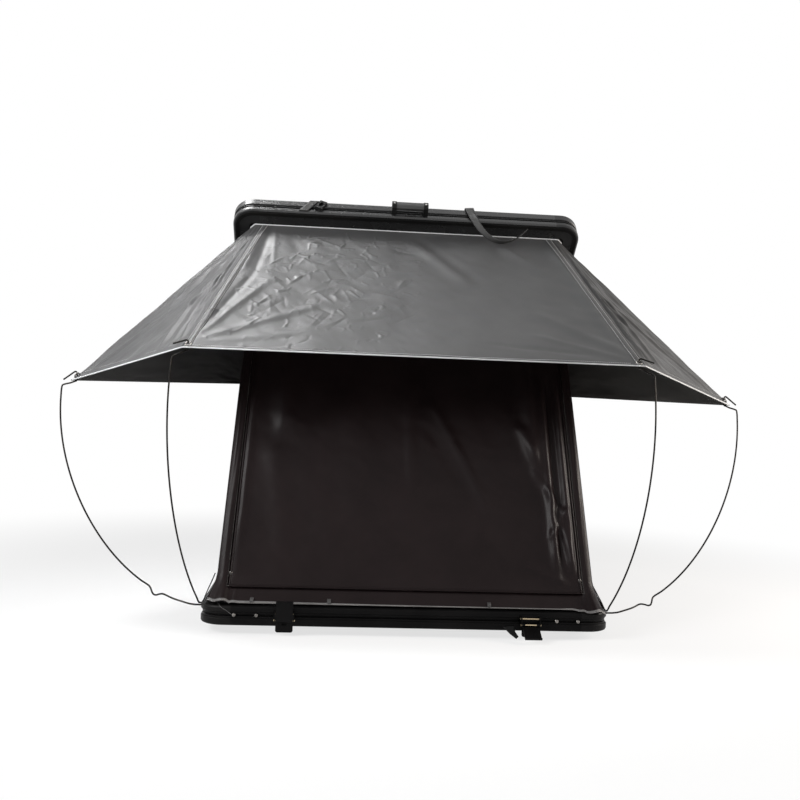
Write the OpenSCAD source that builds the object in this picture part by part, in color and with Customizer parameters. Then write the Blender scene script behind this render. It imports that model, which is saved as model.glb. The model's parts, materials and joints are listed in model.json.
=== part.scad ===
// Roof top tent: hard-shell wedge tent, lid hinged at the far end, shown open with its awning pitched.
// Millimetres, +Z up. Origin: centre of the plane under the mounting rails. -Y is the entry end.
// Lid pieces are drawn closed and turned open about the hinge line.

/* [View] */

/* [Shell] */
// Outside width of the shell
shell_w = 1400; // [1200:10:1600]
// Outside length of the shell
shell_l = 2100; // [1900:10:2300]
// Outside radius of the shell corners
corner_r = 80; // [60:1:100]
// Length of each leg of a corner piece
corner_leg = 106; // [100:1:140]
// Height of the base frame
base_h = 65; // [60:1:80]
// Height of the lid frame
lid_h = 75; // [70:1:95]
// Gap between the frames with the lid shut
seal_gap = 6; // [6:0.5:10]
// Depth of the flange where the frames meet
flange_w = 70; // [66:1:80]
// Depth of the flange that carries the panel
far_flange_w = 50; // [40:1:60]
// Wall of the frame section
skin_t = 4; // [3:0.5:5]
// Angle of the open lid
open_angle = 42.6; // [35:0.1:48]
// Hinge line behind the shell
hinge_out = 14; // [12:1:20]

/* [Frame section] */
// Height of the bead beside the meeting plane
bead_h = 19; // [16:1:22]
// Height of the face groove
groove_h = 20; // [18:1:22]
// Depth of the face groove
groove_d = 5; // [3:0.5:7]
// Height of the slot in the groove
slot_h = 8; // [6:0.5:10]
// Depth of the slot behind the face
slot_d = 10; // [8:0.5:14]
// Chamfer of the outer edges
edge_r = 6; // [3:0.5:8]

/* [Panels] */
// Thickness of the floor board
floor_t = 12; // [9:1:16]
// Thickness of the lid skin
lid_panel_t = 2; // [1.5:0.5:4]
// Thickness of the lid lining
lining_t = 10; // [6:1:16]
// Gap between a panel and the frame
panel_gap = 1; // [0.5:0.5:2]
// Bed foam in from the shell side
bed_side = 150; // [144:1:180]
// Bed foam in from the shell end
bed_end = 100; // [85:1:150]
// Thickness of the bed foam, below the rim when shut
mattress_t = 48; // [30:1:48]
// Corner radius of the bed foam
mattress_r = 60; // [30:1:100]

/* [Mounting rails] */
// Height of the rails below the shell
rail_h = 30; // [24:1:40]
// Width of a rail
rail_w = 40; // [36:1:50]
// Rail ends in from the shell end
rail_end = 200; // [120:5:300]
// Rail to the middle of the shell
rail_x = 400; // [350:5:450]
// Width of the bolt slot under a rail
rail_slot_w = 9; // [8.5:0.5:11]
// Wall of a rail
rail_wall = 4; // [3:0.5:5]
// Diameter of the floor bolts
rail_bolt_d = 8; // [6:1:10]
// Spacing of the floor bolts
rail_bolt_pitch = 400; // [300:10:450]

/* [Hinges and struts] */
// Outer hinges to the middle
hinge_x = 480; // [400:5:520]
// Width of a hinge
hinge_w = 100; // [80:2:120]
// Diameter of a hinge pin
hinge_pin_d = 8; // [6:0.5:10]
// Outside diameter of a knuckle
knuckle_d = 18; // [16:0.5:22]
// Thickness of a hinge leaf
leaf_t = 4; // [3:0.5:5]
// Height of a hinge leaf
leaf_h = 46; // [40:1:50]
// Middle of a gas strut outside the bed foam
strut_bed_gap = 25; // [20:1:30]
// Foot stud in front of the hinge line
strut_foot = 330; // [300:5:360]
// Lid stud in front of the hinge line
strut_head = 760; // [720:5:800]
// Foot stud below the hinge line
strut_foot_drop = 14; // [10:1:20]
// Lid stud above the hinge line
strut_head_rise = 24; // [20:1:30]
// Diameter of the strut tube
tube_d = 22; // [18:1:26]
// Length of the strut tube
tube_l = 300; // [280:5:320]
// Diameter of the strut piston
piston_d = 10; // [8:0.5:12]
// Diameter of the strut eyes
eye_d = 20; // [18:1:22]
// Width of the strut eyes
eye_w = 12; // [10:1:14]
// Diameter of the strut studs
stud_d = 8; // [6:0.5:10]

/* [Latches] */
// Latches to the middle
latch_x = 415; // [380:5:450]
// Width of a latch
latch_w = 58; // [50:1:66]
// Diameter of the latch pins
latch_pin_d = 6; // [5:0.5:7]
// Lever pin above the base frame foot
latch_pin_z = 24; // [22:1:26]
// Draw bar above the base frame foot
latch_bar_z = 43; // [41:1:46]
// Length of a latch lever
lever_l = 63; // [55:1:70]
// Thickness of a latch lever
lever_t = 3; // [2:0.5:4]
// Angle of the open lever
lever_tilt = 122; // [120:1:145]

/* [Handle and straps] */
// Length of the handle grip
grip_l = 108; // [90:1:130]
// Width of a handle lug
lug_w = 18; // [14:1:24]
// Reach of the handle from the face
lug_out = 43; // [38:1:50]
// Middle of the handle above the lid frame's lower edge
handle_up = 35; // [30:1:40]
// Width of the closing straps
strap_w = 36; // [25:1:40]
// Thickness of the closing straps
strap_t = 2.4; // [1.6:0.2:3]
// Left strap to the middle
strap_x = 400; // [380:5:420]
// Right strap to the middle
strap_right_x = 243; // [200:5:300]

/* [Awning] */
// Thickness of the cloth
cloth_t = 2; // [1.5:0.1:2.5]
// Diameter of the awning rods
rod_d = 6; // [5:0.5:7]
// Awning track in from the shell side
awn_inset = 70; // [68:1:76]
// Hip seam at the lid in from the shell side
awn_hip_in = 115; // [100:1:140]
// Front corner outside the shell side
awn_front_out = 85; // [60:1:120]
// Front corner ahead of the shell end
awn_front_ahead = 5; // [0:1:40]
// Front corner above the rails
awn_front_z = 947; // [900:5:1000]
// Outer corner outside the shell side
awn_side_out = 519; // [480:1:560]
// Outer corner behind the shell end
awn_side_back = 300; // [260:1:340]
// Outer corner above the rails
awn_side_z = 830; // [790:5:880]
// Rear point of the awning from the hinge line
awn_side_run = 1130; // [1080:5:1180]
// Outside radius of an eyelet
eyelet_r = 12; // [11:0.5:14]
// Radius of the hole in an eyelet
eyelet_hole = 9; // [8:0.5:10]
// Thickness of an eyelet
eyelet_t = 5; // [4:0.5:6]
// Rod sockets below the rim
socket_z = 10; // [9:0.5:11]
// Front rod socket from the entry end
socket_front = 92; // [88:1:100]
// Side rod socket from the entry end
socket_side = 60; // [56:1:64]

/* [Tent walls] */
// Tent walls in from the shell side
wall_inset = 45; // [40:1:50]
// Top of the side walls outside a gas strut
strut_wall_gap = 28; // [26:1:32]
// Width of the cloth tracks
track_w = 10; // [8:0.5:12]
// Thickness of the cloth tracks
track_t = 1.5; // [1:0.1:2]
// Diameter of the hem bead
hem_d = 4; // [3:0.5:5]

/* [Clearances] */
// Clearance where pieces stand beside each other
fit = 0.3; // [0.2:0.05:0.5]
// Running clearance of the pins, on the radius
pin_fit = 0.08; // [0.04:0.01:0.1]
// Clearance of each awning panel from the hip seam, across
hip_gap = 1.2; // [1:0.1:2]
// Clearance around cloth
soft_gap = 0.5; // [0.3:0.1:0.8]

/* [Hidden] */
$fn = 48;
base_top = rail_h + base_h;
lid_z = base_top + seal_gap;
hinge_y = shell_l / 2 + hinge_out;
hinge_z = base_top + seal_gap / 2;
hw = shell_w / 2;
hl = shell_l / 2;
rail_top = rail_h + skin_t;
floor_top = rail_top + floor_t;
groove_mid = bead_h + 2 + groove_h / 2;
mattress_w = shell_w - 2 * bed_side;
mattress_l = shell_l - 2 * bed_end;
rail_l = shell_l - 2 * rail_end;
strut_x = mattress_w / 2 + strut_bed_gap;
awn_top_x = hw - awn_hip_in;
awn_front_x = hw + awn_front_out;
awn_front_y = -hl - awn_front_ahead;
awn_side_x = hw + awn_side_out;
awn_side_y = -hl + awn_side_back;

// Shared helpers

// A point drawn with the lid closed, carried to the open lid.
function lid_pt(x, y, z) = [x,
  hinge_y + (y - hinge_y) * cos(open_angle) + (z - hinge_z) * sin(open_angle),
  hinge_z - (y - hinge_y) * sin(open_angle) + (z - hinge_z) * cos(open_angle)];

module opened() {
  translate([0, hinge_y, hinge_z]) rotate([-open_angle, 0, 0]) translate([0, -hinge_y, -hinge_z]) children();
}

module pair() {
  children();
  mirror([1, 0, 0]) children();
}

module slab(w, l, r, h) {
  translate([-w / 2 + r, -l / 2, 0]) cube([w - 2 * r, l, h]);
  translate([-w / 2, -l / 2 + r, 0]) cube([w, l - 2 * r, h]);
  for (x = [-1, 1]) for (y = [-1, 1])
    translate([x * (w / 2 - r), y * (l / 2 - r), 0]) cylinder(r = r, h = h);
}

// A flat ring that follows the shell's outline, between two insets.
module outline_ring(in_a, in_b, h) {
  difference() {
    slab(shell_w - 2 * in_a, shell_l - 2 * in_a, corner_r - in_a, h);
    translate([0, 0, -1]) slab(shell_w - 2 * in_b, shell_l - 2 * in_b, max(corner_r - in_b, 2), h + 2);
  }
}

// A round bar along X from x to x + l.
module bar_x(x, l, d) {
  translate([x, 0, 0]) rotate([0, 90, 0]) cylinder(d = d, h = l);
}

// Frame section: u runs in from the outer face, v away from the plane where base and lid meet.
function section(h) = let (t = skin_t, a = bead_h + 2, b = a + groove_h, m = groove_mid, s = slot_h / 2,
  g = groove_d, q = groove_d + slot_d, e = edge_r)
  [[e, 0], [flange_w, 0], [flange_w, t], [t, t], [t, a - t], [g + t, a - t], [g + t, m - s - t],
   [q + t, m - s - t], [q + t, m + s + t], [g + t, m + s + t], [g + t, b + t], [t, b + t], [t, h - t],
   [far_flange_w, h - t], [far_flange_w, h], [e, h], [e / 3, h - e / 3], [0, h - e], [0, b + 2], [2, b],
   [g, b], [g, m + s], [q, m + s], [q, m - s], [g, m - s], [g, a], [2, a], [0, bead_h], [0, e],
   [e / 3, e / 3]];

// Straight length of frame along X, on the entry side. dir is 1 with the meeting plane below, -1 above.
module frame_bar(h, dir, l) {
  rotate([90, 0, 90]) linear_extrude(l, center = true)
    polygon([for (p = section(h)) [p[0], dir * p[1]]]);
}

module frame_lengths(h, dir) {
  lx = shell_w - 2 * corner_leg;
  ly = shell_l - 2 * corner_leg;
  for (a = [0, 180]) rotate([0, 0, a]) {
    translate([0, -hl, 0]) frame_bar(h, dir, lx);
    rotate([0, 0, 90]) translate([0, -hw, 0]) frame_bar(h, dir, ly);
  }
}

module frame_corner(h, dir) {
  stub = corner_leg - corner_r;
  translate([hw - corner_r, -hl + corner_r, 0]) rotate([0, 0, -90]) rotate_extrude(angle = 90)
    polygon([for (p = section(h)) [corner_r - p[0], dir * p[1]]]);
  translate([hw - corner_leg + stub / 2, -hl, 0]) frame_bar(h, dir, stub);
  rotate([0, 0, 90]) translate([-hl + corner_leg - stub / 2, -hw, 0]) frame_bar(h, dir, stub);
}

// Thin cloth: a grid of points, given thickness along the surface normal.
function cloth_normal(P, i, j) = let (n = len(P) - 1, m = len(P[0]) - 1,
  a = P[min(i + 1, n)][j] - P[max(i - 1, 0)][j], b = P[i][min(j + 1, m)] - P[i][max(j - 1, 0)], c = cross(a, b))
  c / norm(c);

module cloth(P, t) {
  n = len(P);
  m = len(P[0]);
  k = n * m;
  top = [for (i = [0:n - 1]) for (j = [0:m - 1]) P[i][j]];
  low = [for (i = [0:n - 1]) for (j = [0:m - 1]) P[i][j] - t * cloth_normal(P, i, j)];
  faces = concat(
    [for (i = [0:n - 2]) for (j = [0:m - 2]) each [[i * m + j, i * m + j + 1, (i + 1) * m + j + 1],
      [i * m + j, (i + 1) * m + j + 1, (i + 1) * m + j]]],
    [for (i = [0:n - 2]) for (j = [0:m - 2]) each [[k + i * m + j, k + (i + 1) * m + j + 1, k + i * m + j + 1],
      [k + i * m + j, k + (i + 1) * m + j, k + (i + 1) * m + j + 1]]],
    [for (i = [0:n - 2]) each [[i * m, (i + 1) * m, k + (i + 1) * m], [i * m, k + (i + 1) * m, k + i * m]]],
    [for (i = [0:n - 2]) let (e = m - 1) each [[(i + 1) * m + e, i * m + e, k + i * m + e],
      [(i + 1) * m + e, k + i * m + e, k + (i + 1) * m + e]]],
    [for (j = [0:m - 2]) each [[j + 1, j, k + j], [j + 1, k + j, k + j + 1]]],
    [for (j = [0:m - 2]) let (r = (n - 1) * m) each [[r + j, r + j + 1, k + r + j + 1],
      [r + j, k + r + j + 1, k + r + j]]]);
  polyhedron(points = concat(top, low), faces = faces, convexity = 8);
}

// Round rod swept along a path, with its frame kept square to a reference direction.
function unit(v) = v / norm(v);
function way(p, i) = unit(p[min(i + 1, len(p) - 1)] - p[max(i - 1, 0)]);

module swept(path, r, sides, ref) {
  n = len(path);
  pts = [for (i = [0:n - 1]) let (t = way(path, i), a = unit(cross(t, ref)), b = cross(a, t))
    for (s = [0:sides - 1]) path[i] + r * (cos(s * 360 / sides) * a + sin(s * 360 / sides) * b)];
  faces = concat(
    [for (i = [0:n - 2]) for (s = [0:sides - 1]) let (q = (s + 1) % sides) each [
      [i * sides + s, (i + 1) * sides + q, i * sides + q], [i * sides + s, (i + 1) * sides + s, (i + 1) * sides + q]]],
    [[for (s = [0:sides - 1]) s]],
    [[for (s = [sides - 1:-1:0]) (n - 1) * sides + s]]);
  polyhedron(points = pts, faces = faces, convexity = 8);
}

function bez(a, b, c, d, t) = pow(1 - t, 3) * a + 3 * pow(1 - t, 2) * t * b + 3 * (1 - t) * t * t * c + t * t * t * d;
function curve(a, b, c, d, n) = [for (i = [0:n]) bez(a, b, c, d, i / n)];

// Base shell

module base_extrusions() {
  color([0.09, 0.09, 0.1]) translate([0, 0, base_top]) frame_lengths(base_h, -1);
}

module base_corner() {
  translate([0, 0, base_top]) frame_corner(base_h, -1);
}

module base_corners() {
  color([0.11, 0.11, 0.12]) {
    pair() mirror([0, 1, 0]) base_corner();
    pair() difference() {
      base_corner();
      for (y = [socket_front, socket_side])
        translate([0, -hl + y, base_top - socket_z]) bar_x(hw - corner_r / 2, corner_r, rod_d + 2 * fit);
    }
  }
}

module floor_panel() {
  g = skin_t + panel_gap;
  color([0.35, 0.35, 0.36]) difference() {
    translate([0, 0, rail_top]) slab(shell_w - 2 * g, shell_l - 2 * g, corner_r - g, floor_t);
    pair() for (k = [-1.5:1:1.5]) translate([rail_x, k * rail_bolt_pitch, rail_h])
      cylinder(d = rail_bolt_d + 2 * fit, h = 2 * floor_t);
  }
}

module mattress() {
  color([0.55, 0.55, 0.56]) translate([0, 0, floor_top]) slab(mattress_w, mattress_l, mattress_r, mattress_t);
}

// C-shaped rails, open downward for sliding bolt heads
module rail_tops() {
  color([0.6, 0.6, 0.62]) pair() translate([rail_x, 0, 0]) difference() {
    translate([-rail_w / 2, -rail_l / 2, rail_top - rail_wall]) cube([rail_w, rail_l, rail_wall]);
    for (k = [-1.5:1:1.5]) translate([0, k * rail_bolt_pitch, rail_h / 2])
      cylinder(d = rail_bolt_d + 2 * fit, h = rail_top);
  }
}

module rail_sides() {
  color([0.6, 0.6, 0.62]) pair() for (x = [-rail_w / 2, rail_w / 2 - rail_wall])
    translate([rail_x + x, -rail_l / 2, rail_wall]) cube([rail_wall, rail_l, rail_top - 2 * rail_wall]);
}

// The two lips leave the slot for the bolts open between them
module rail_lips() {
  lip = (rail_w - rail_slot_w) / 2;
  color([0.6, 0.6, 0.62]) pair() for (x = [-rail_w / 2, rail_slot_w / 2])
    translate([rail_x + x, -rail_l / 2, 0]) cube([lip, rail_l, rail_wall]);
}

// Bolts up through the rails and the floor, dome heads inside the rails
module rail_bolts() {
  color([0.7, 0.7, 0.7]) pair() for (k = [-1.5:1:1.5]) translate([rail_x, k * rail_bolt_pitch, 0]) {
    translate([0, 0, rail_top - rail_wall - 6]) cylinder(d = 2 * rail_bolt_d, h = 6);
    translate([0, 0, rail_top - rail_wall - 1]) cylinder(d = rail_bolt_d, h = rail_wall + 1 + floor_t);
  }
}

// Blocks under the rim that take the feet of the awning rods
module rod_sockets() {
  color([0.05, 0.05, 0.05]) pair() difference() {
    translate([hw - 80, -hl + socket_side - 20, base_top - skin_t - 12])
      cube([60, socket_front - socket_side + 30, 12]);
    for (y = [socket_front, socket_side])
      translate([0, -hl + y, base_top - socket_z]) bar_x(hw - 81, 62, rod_d + 2 * fit);
  }
}

// Hinges at the far end

module knuckle(x, l) {
  difference() {
    bar_x(x, l, knuckle_d);
    bar_x(x - 1, l + 2, hinge_pin_d + 2 * pin_fit);
  }
}

module leaf_plate(z) {
  translate([-hinge_w / 2, hl, z]) cube([hinge_w, leaf_t, leaf_h]);
}

module base_leaf() {
  third = hinge_w / 3;
  z = base_top - edge_r - leaf_h + 2;
  leaf_plate(z);
  for (x = [-hinge_w / 2, hinge_w / 2 - third + 1]) {
    translate([0, hinge_y, hinge_z]) knuckle(x, third - 1);
    translate([x, hl, base_top - 16]) cube([third - 1, hinge_out, 12]);
  }
}

module base_hinge_leaves() {
  color([0.12, 0.12, 0.13]) for (x = [-hinge_x, 0, hinge_x]) translate([x, 0, 0]) base_leaf();
}

module hinge_pins() {
  color([0.72, 0.72, 0.73]) for (x = [-hinge_x, 0, hinge_x]) translate([x, hinge_y, hinge_z]) {
    bar_x(-hinge_w / 2 - 2, hinge_w + 4, hinge_pin_d);
    for (s = [-1, 1]) bar_x(s * (hinge_w / 2 + 1.5) - 1.2, 2.4, hinge_pin_d + 4);
  }
}

module leaf_screws(z) {
  for (x = [-hinge_x, 0, hinge_x]) for (s = [-1, 1])
    translate([x + s * hinge_w * 0.34, hl + leaf_t, z]) rotate([-90, 0, 0]) cylinder(d = 12, h = 4);
}

module base_hinge_screws() {
  color([0.72, 0.72, 0.73]) leaf_screws(base_top - edge_r - leaf_h + 14);
}

module lid_leaf() {
  third = hinge_w / 3;
  leaf_plate(lid_z + edge_r - 2);
  translate([0, hinge_y, hinge_z]) knuckle(-third / 2 + 0.5, third - 1);
  translate([-third / 2 + 0.5, hl, lid_z + 4]) cube([third - 1, hinge_out, 10]);
}

module lid_hinge_leaves() {
  color([0.12, 0.12, 0.13]) opened() for (x = [-hinge_x, 0, hinge_x]) translate([x, 0, 0]) lid_leaf();
}

module lid_hinge_screws() {
  color([0.72, 0.72, 0.73]) opened() leaf_screws(lid_z + edge_r + leaf_h - 14);
}

// Gas struts, one each side inside the walls

foot_y = hinge_y - strut_foot;
foot_z = hinge_z - strut_foot_drop;
head_p = lid_pt(strut_x, hinge_y - strut_head, hinge_z + strut_head_rise);
strut_len = norm([head_p[1] - foot_y, head_p[2] - foot_z]);
strut_tilt = atan2(head_p[2] - foot_z, foot_y - head_p[1]);
plate_x = strut_x + eye_w / 2 + fit;
strut_shut = norm([strut_head - strut_foot, strut_head_rise + strut_foot_drop]);
stroke = strut_len - strut_shut;
tube_start = 20;
tube_bore = 60;

// Strut drawn along -Y from its foot, turned up to the lid
module strut_at() {
  translate([strut_x, foot_y, foot_z]) rotate([-strut_tilt, 0, 0]) children();
}

module strut_base_brackets() {
  h = foot_z - floor_top;
  color([0.14, 0.14, 0.15]) pair() {
    translate([plate_x, foot_y - 18, floor_top]) cube([4, 36, h]);
    translate([plate_x, foot_y, foot_z]) bar_x(0, 4, 36);
    translate([plate_x, foot_y - 30, floor_top]) cube([24, 60, 4]);
    translate([strut_x, foot_y, foot_z]) bar_x(-eye_w / 2 - 2, eye_w + 3, stud_d);
    translate([strut_x, foot_y, foot_z]) bar_x(-eye_w / 2 - 2 - fit, 2, stud_d + 5);
  }
}

module eye() {
  difference() {
    bar_x(-eye_w / 2, eye_w, eye_d);
    bar_x(-eye_w / 2 - 1, eye_w + 2, stud_d + 2 * pin_fit);
  }
}

module strut_tube() {
  color([0.05, 0.05, 0.06]) strut_at() {
    eye();
    translate([0, -eye_d / 2 + 2, 0]) rotate([90, 0, 0]) cylinder(d = piston_d, h = 16);
    difference() {
      translate([0, -tube_start, 0]) rotate([90, 0, 0]) cylinder(d = tube_d, h = tube_l);
      translate([0, -tube_bore, 0]) rotate([90, 0, 0]) cylinder(d = piston_d + 2 * pin_fit, h = tube_l);
    }
  }
}

module strut_tube_right() {
  strut_tube();
}

module strut_tube_left() {
  mirror([1, 0, 0]) strut_tube();
}

// The head eye lies beside the lid's stud: that pivot is left open
module strut_piston() {
  color([0.75, 0.75, 0.76]) strut_at() translate([0, -strut_len, 0]) {
    bar_x(-eye_w / 2, eye_w, eye_d);
    translate([0, eye_d / 2 - 2, 0]) rotate([-90, 0, 0]) 
      cylinder(d = piston_d, h = strut_len - eye_d / 2 + 2 - tube_bore - stroke - 5);
  }
}

module strut_piston_right() {
  strut_piston();
}

module strut_piston_left() {
  mirror([1, 0, 0]) strut_piston();
}

module strut_lid_brackets() {
  y = hinge_y - strut_head;
  z = hinge_z + strut_head_rise;
  x = plate_x + 4;
  color([0.14, 0.14, 0.15]) opened() pair() {
    translate([x, y - 16, z - 16]) cube([4, 32, 32]);
    translate([x, y - 30, lid_z + skin_t]) cube([hw - flange_w + 14 - x, 60, 4]);
    translate([plate_x, y, z]) bar_x(0, 5, stud_d);
  }
}

// Latches on the entry face

latch_py = -hl - 17;
latch_pz = rail_h + latch_pin_z;

module latch_bracket() {
  z0 = rail_h + 8;
  ear = latch_w / 2 + 1;
  difference() {
    union() {
      translate([-ear - 3, -hl - 3, z0]) cube([2 * ear + 6, 3, base_h - 18]);
      for (s = [-1, 1]) translate([s * (ear + 1.5) - 1.5, -hl - 22, latch_pz - 7])
        cube([3, 20, latch_bar_z - latch_pin_z + 14]);
      translate([0, -hl - 6, latch_pz - 42]) rotate([90, 0, 0]) linear_extrude(3)
        polygon([[-latch_w / 2, 40], [-latch_w / 2, 6], [-latch_w / 2 + 2, 2], [-latch_w / 2 + 6, 0],
          [latch_w / 2 - 6, 0], [latch_w / 2 - 2, 2], [latch_w / 2, 6], [latch_w / 2, 40]]);
      translate([-latch_w / 2 + 2, -hl - 9, latch_pz - 12]) cube([latch_w - 4, 7, 4]);
    }
    translate([-8, -hl - 10, latch_pz - 19]) cube([16, 8, 12]);
    translate([0, latch_py, latch_pz]) bar_x(-ear - 5, 2 * ear + 10, latch_pin_d + 2 * pin_fit);
    translate([0, -hl - 8, rail_h + latch_bar_z]) bar_x(-ear - 5, 2 * ear + 10, latch_pin_d + 2 * pin_fit);
  }
}

module latch_brackets() {
  color([0.07, 0.07, 0.07]) for (s = [-1, 1]) translate([s * latch_x, 0, 0]) latch_bracket();
}

// Hinge pin and spring bar of each latch, held in its ears
module latch_pins() {
  reach = latch_w / 2 + 6;
  flush = latch_w / 2 + 3.8;
  color([0.8, 0.66, 0.4]) for (s = [-1, 1]) translate([s * latch_x, 0, 0]) {
    bar = s < 0 ? flush : reach;
    translate([0, latch_py, latch_pz]) bar_x(-reach, 2 * reach, latch_pin_d);
    translate([0, -hl - 8, rail_h + latch_bar_z]) bar_x(-bar, 2 * bar, latch_pin_d);
  }
}

// Draw lever, drawn standing up from its pin
module latch_lever() {
  difference() {
    union() {
      translate([-latch_w / 2, -latch_pin_d / 2 - lever_t, 0]) cube([latch_w, lever_t, lever_l]);
      bar_x(-latch_w / 2, latch_w, latch_pin_d + 2 * lever_t);
      translate([-latch_w / 2, -latch_pin_d / 2 - lever_t, lever_l - 3]) cube([latch_w, lever_t + 5, 3]);
    }
    bar_x(-latch_w / 2 - 1, latch_w + 2, latch_pin_d + 2 * pin_fit);
    translate([-latch_w / 2 + 9, -latch_pin_d / 2 - 0.5, -12]) cube([latch_w - 18, 24, 24]);
  }
}

module latch_lever_left() {
  color([0.06, 0.06, 0.06]) translate([-latch_x, latch_py, latch_pz]) latch_lever();
}

module latch_lever_right() {
  color([0.06, 0.06, 0.06]) translate([latch_x, latch_py, latch_pz]) rotate([lever_tilt, 0, 0]) latch_lever();
}

// Dome screws in the entry face's groove
module face_screws() {
  z = base_top - groove_mid;
  color([0.78, 0.78, 0.78]) for (x = [117 - hw, 191 - hw, hw - 191, hw - 117]) translate([x, -hl, z]) rotate([-90, 0, 0]) {
    difference() {
      union() {
        translate([0, 0, groove_d - 4]) cylinder(d1 = 6, d2 = 10.5, h = 1);
        translate([0, 0, groove_d - 3]) cylinder(d1 = 10.5, d2 = 13, h = 1.4);
        translate([0, 0, groove_d - 1.6]) cylinder(d = 13, h = 1.6);
      }
      translate([0, 0, groove_d - 4.5]) cylinder(d = 4, h = 2.5, $fn = 6);
    }
    translate([0, 0, groove_d - 1]) cylinder(d = slot_h - 2 * fit, h = slot_d);
  }
}

// Tent fabric

module wall_track() {
  color([0.3, 0.3, 0.31]) translate([0, 0, base_top])
    outline_ring(wall_inset - track_w / 2, wall_inset + track_w / 2, track_t);
}

hem_z = base_top + track_t + hem_d / 2;

module hem_piping() {
  x = hw - wall_inset;
  y = hl - wall_inset;
  r = corner_r - wall_inset;
  color([0.55, 0.55, 0.56]) translate([0, 0, hem_z]) {
    translate([0, -y, 0]) bar_x(-x + r, 2 * (x - r), hem_d);
    pair() translate([x - r, -y + r, 0]) rotate([0, 0, -90]) rotate_extrude(angle = 90)
      translate([r, 0]) circle(d = hem_d);
    pair() translate([x, -y + r, 0]) rotate([-90, 0, 0]) cylinder(d = hem_d, h = 2 * y - 2 * r);
  }
}

wall_z = hem_z + hem_d / 2 + soft_gap;
wall_bot_x = hw - wall_inset;
wall_bot_y = -hl + wall_inset;
wall_top_x = strut_x + strut_wall_gap;
wall_top = lid_pt(0, -hl + awn_inset + 12, lid_z - cloth_t - soft_gap);
wall_lean = atan2(wall_top[1] - wall_bot_y, wall_top[2] - wall_z);

// Entry wall: s across from -1 to 1, t up from 0 to 1, with its soft upright folds
function wall_fold(s, t) = 7 * sin(180 * t) * (sin(s * 520) + 0.6 * sin(s * 1130 + 70 * t)) * (1 - pow(abs(s), 6));
function wall_pt(s, t, out) = let (x = wall_bot_x - cloth_t / 2 - soft_gap + (wall_top_x - wall_bot_x) * t)
  [s * x, wall_bot_y + (wall_top[1] - wall_bot_y) * t - out - wall_fold(s, t), wall_z + (wall_top[2] - wall_z) * t];

// Rows of the wall from the lid down; the door takes all but the outer two
wall_rows = [1, 0.955, 0.9, 0.8, 0.7, 0.6, 0.5, 0.4, 0.3, 0.2, 0.1, 0.035, 0];

module front_wall() {
  color([0.07, 0.06, 0.06])
    cloth([for (i = [0:28]) [for (j = [0:12]) wall_pt(i / 14 - 1, wall_rows[j], 0)]], cloth_t);
}

// Zipped door panel over the entry wall
module entry_door() {
  color([0.08, 0.07, 0.07])
    cloth([for (i = [1:27]) [for (j = [1:11]) wall_pt(i / 14 - 1, wall_rows[j], cloth_t + soft_gap)]], cloth_t);
}

// Side walls: bottom edge along the base rim, top edge under the lid's side
side_run = 1950;
function side_pt(a, t) = let (y0 = wall_bot_y + 4 + a * side_run, yc = -hl + awn_inset + 14 + a * (side_run - 10),
  top = lid_pt(0, yc, lid_z - cloth_t - soft_gap), belly = 10 * sin(180 * t) * sin(180 * a))
  [wall_bot_x - cloth_t / 2 + (wall_top_x - wall_bot_x) * t + belly, y0 + (top[1] - y0) * t, wall_z + (top[2] - wall_z) * t];

module side_wall() {
  color([0.07, 0.06, 0.06]) cloth([for (i = [0:16]) [for (j = [0:6]) side_pt(i / 16, 1 - j / 6)]], cloth_t);
}

module right_wall() {
  side_wall();
}

module left_wall() {
  mirror([1, 0, 0]) side_wall();
}

// Thin elastic from the left hem corner down to the outer face screw
module hem_ties() {
  z = base_top - groove_mid;
  color([0.4, 0.4, 0.4]) mirror([1, 0, 0])
    swept([[hw - 52, -hl + 52.5, hem_z], [hw - 60, -hl + 30, base_top + 2.5], [hw - 68, -hl + 5, base_top + 2.5],
      [hw - 74, -hl - 2.2, base_top - 4], [hw - 94, -hl - 2.2, base_top - 16], [hw - 110, -hl - 0.6, z + 3]],
      1, 6, [0, 0.3, 1]);
}

// Cord from the base corner up to the tent wall's corner seam
module corner_guys() {
  color([0.05, 0.05, 0.05]) pair()
    swept([[hw - 8, -hl + 60, base_top + 1.3], [hw - 18, -hl + 65, base_top + 30], [hw - 34, -hl + 74, base_top + 70],
      [hw - 42, -hl + 82, base_top + 92]], 1.9, 6, [0, 1, 0]);
}

// Webbing tabs sewn on the hem
module hem_tabs() {
  color([0.35, 0.35, 0.35]) for (x = [-528, -268, 276])
    translate([x - 6, wall_bot_y - cloth_t - 1.2, wall_z + 4]) rotate([-wall_lean, 0, 0]) cube([12, 2, 18]);
}

// Zip pulls at the foot of the door, one each side
module zip_sliders() {
  color([0.6, 0.6, 0.6]) for (s = [-1, 1])
    translate(wall_pt(s * 13 / 14, 0.06, 2 * cloth_t + 2 * soft_gap)) rotate([-wall_lean, 0, 0]) {
    translate([-4, -2.5, 0]) cube([8, 2.5, 14]);
    translate([-2, -4, -22]) cube([4, 1.5, 30]);
  }
}

// Loose webbing end under the entry edge, beside the right latch
module webbing_tail() {
  color([0.05, 0.05, 0.05]) translate([latch_x - 54, -hl - fit, -4]) rotate([90, 0, 0]) linear_extrude(2)
    polygon([[-40, rail_h + 18], [0, rail_h + 22], [4, rail_h + 2], [16, rail_h - 14], [8, rail_h - 22], [-14, rail_h - 6]]);
}

// Lid

module lid_extrusions() {
  color([0.09, 0.09, 0.1]) opened() translate([0, 0, lid_z]) frame_lengths(lid_h, 1);
}

module lid_corners() {
  color([0.12, 0.12, 0.13]) opened() translate([0, 0, lid_z]) for (m = [0, 1]) mirror([0, m, 0])
    pair() frame_corner(lid_h, 1);
}

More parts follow.
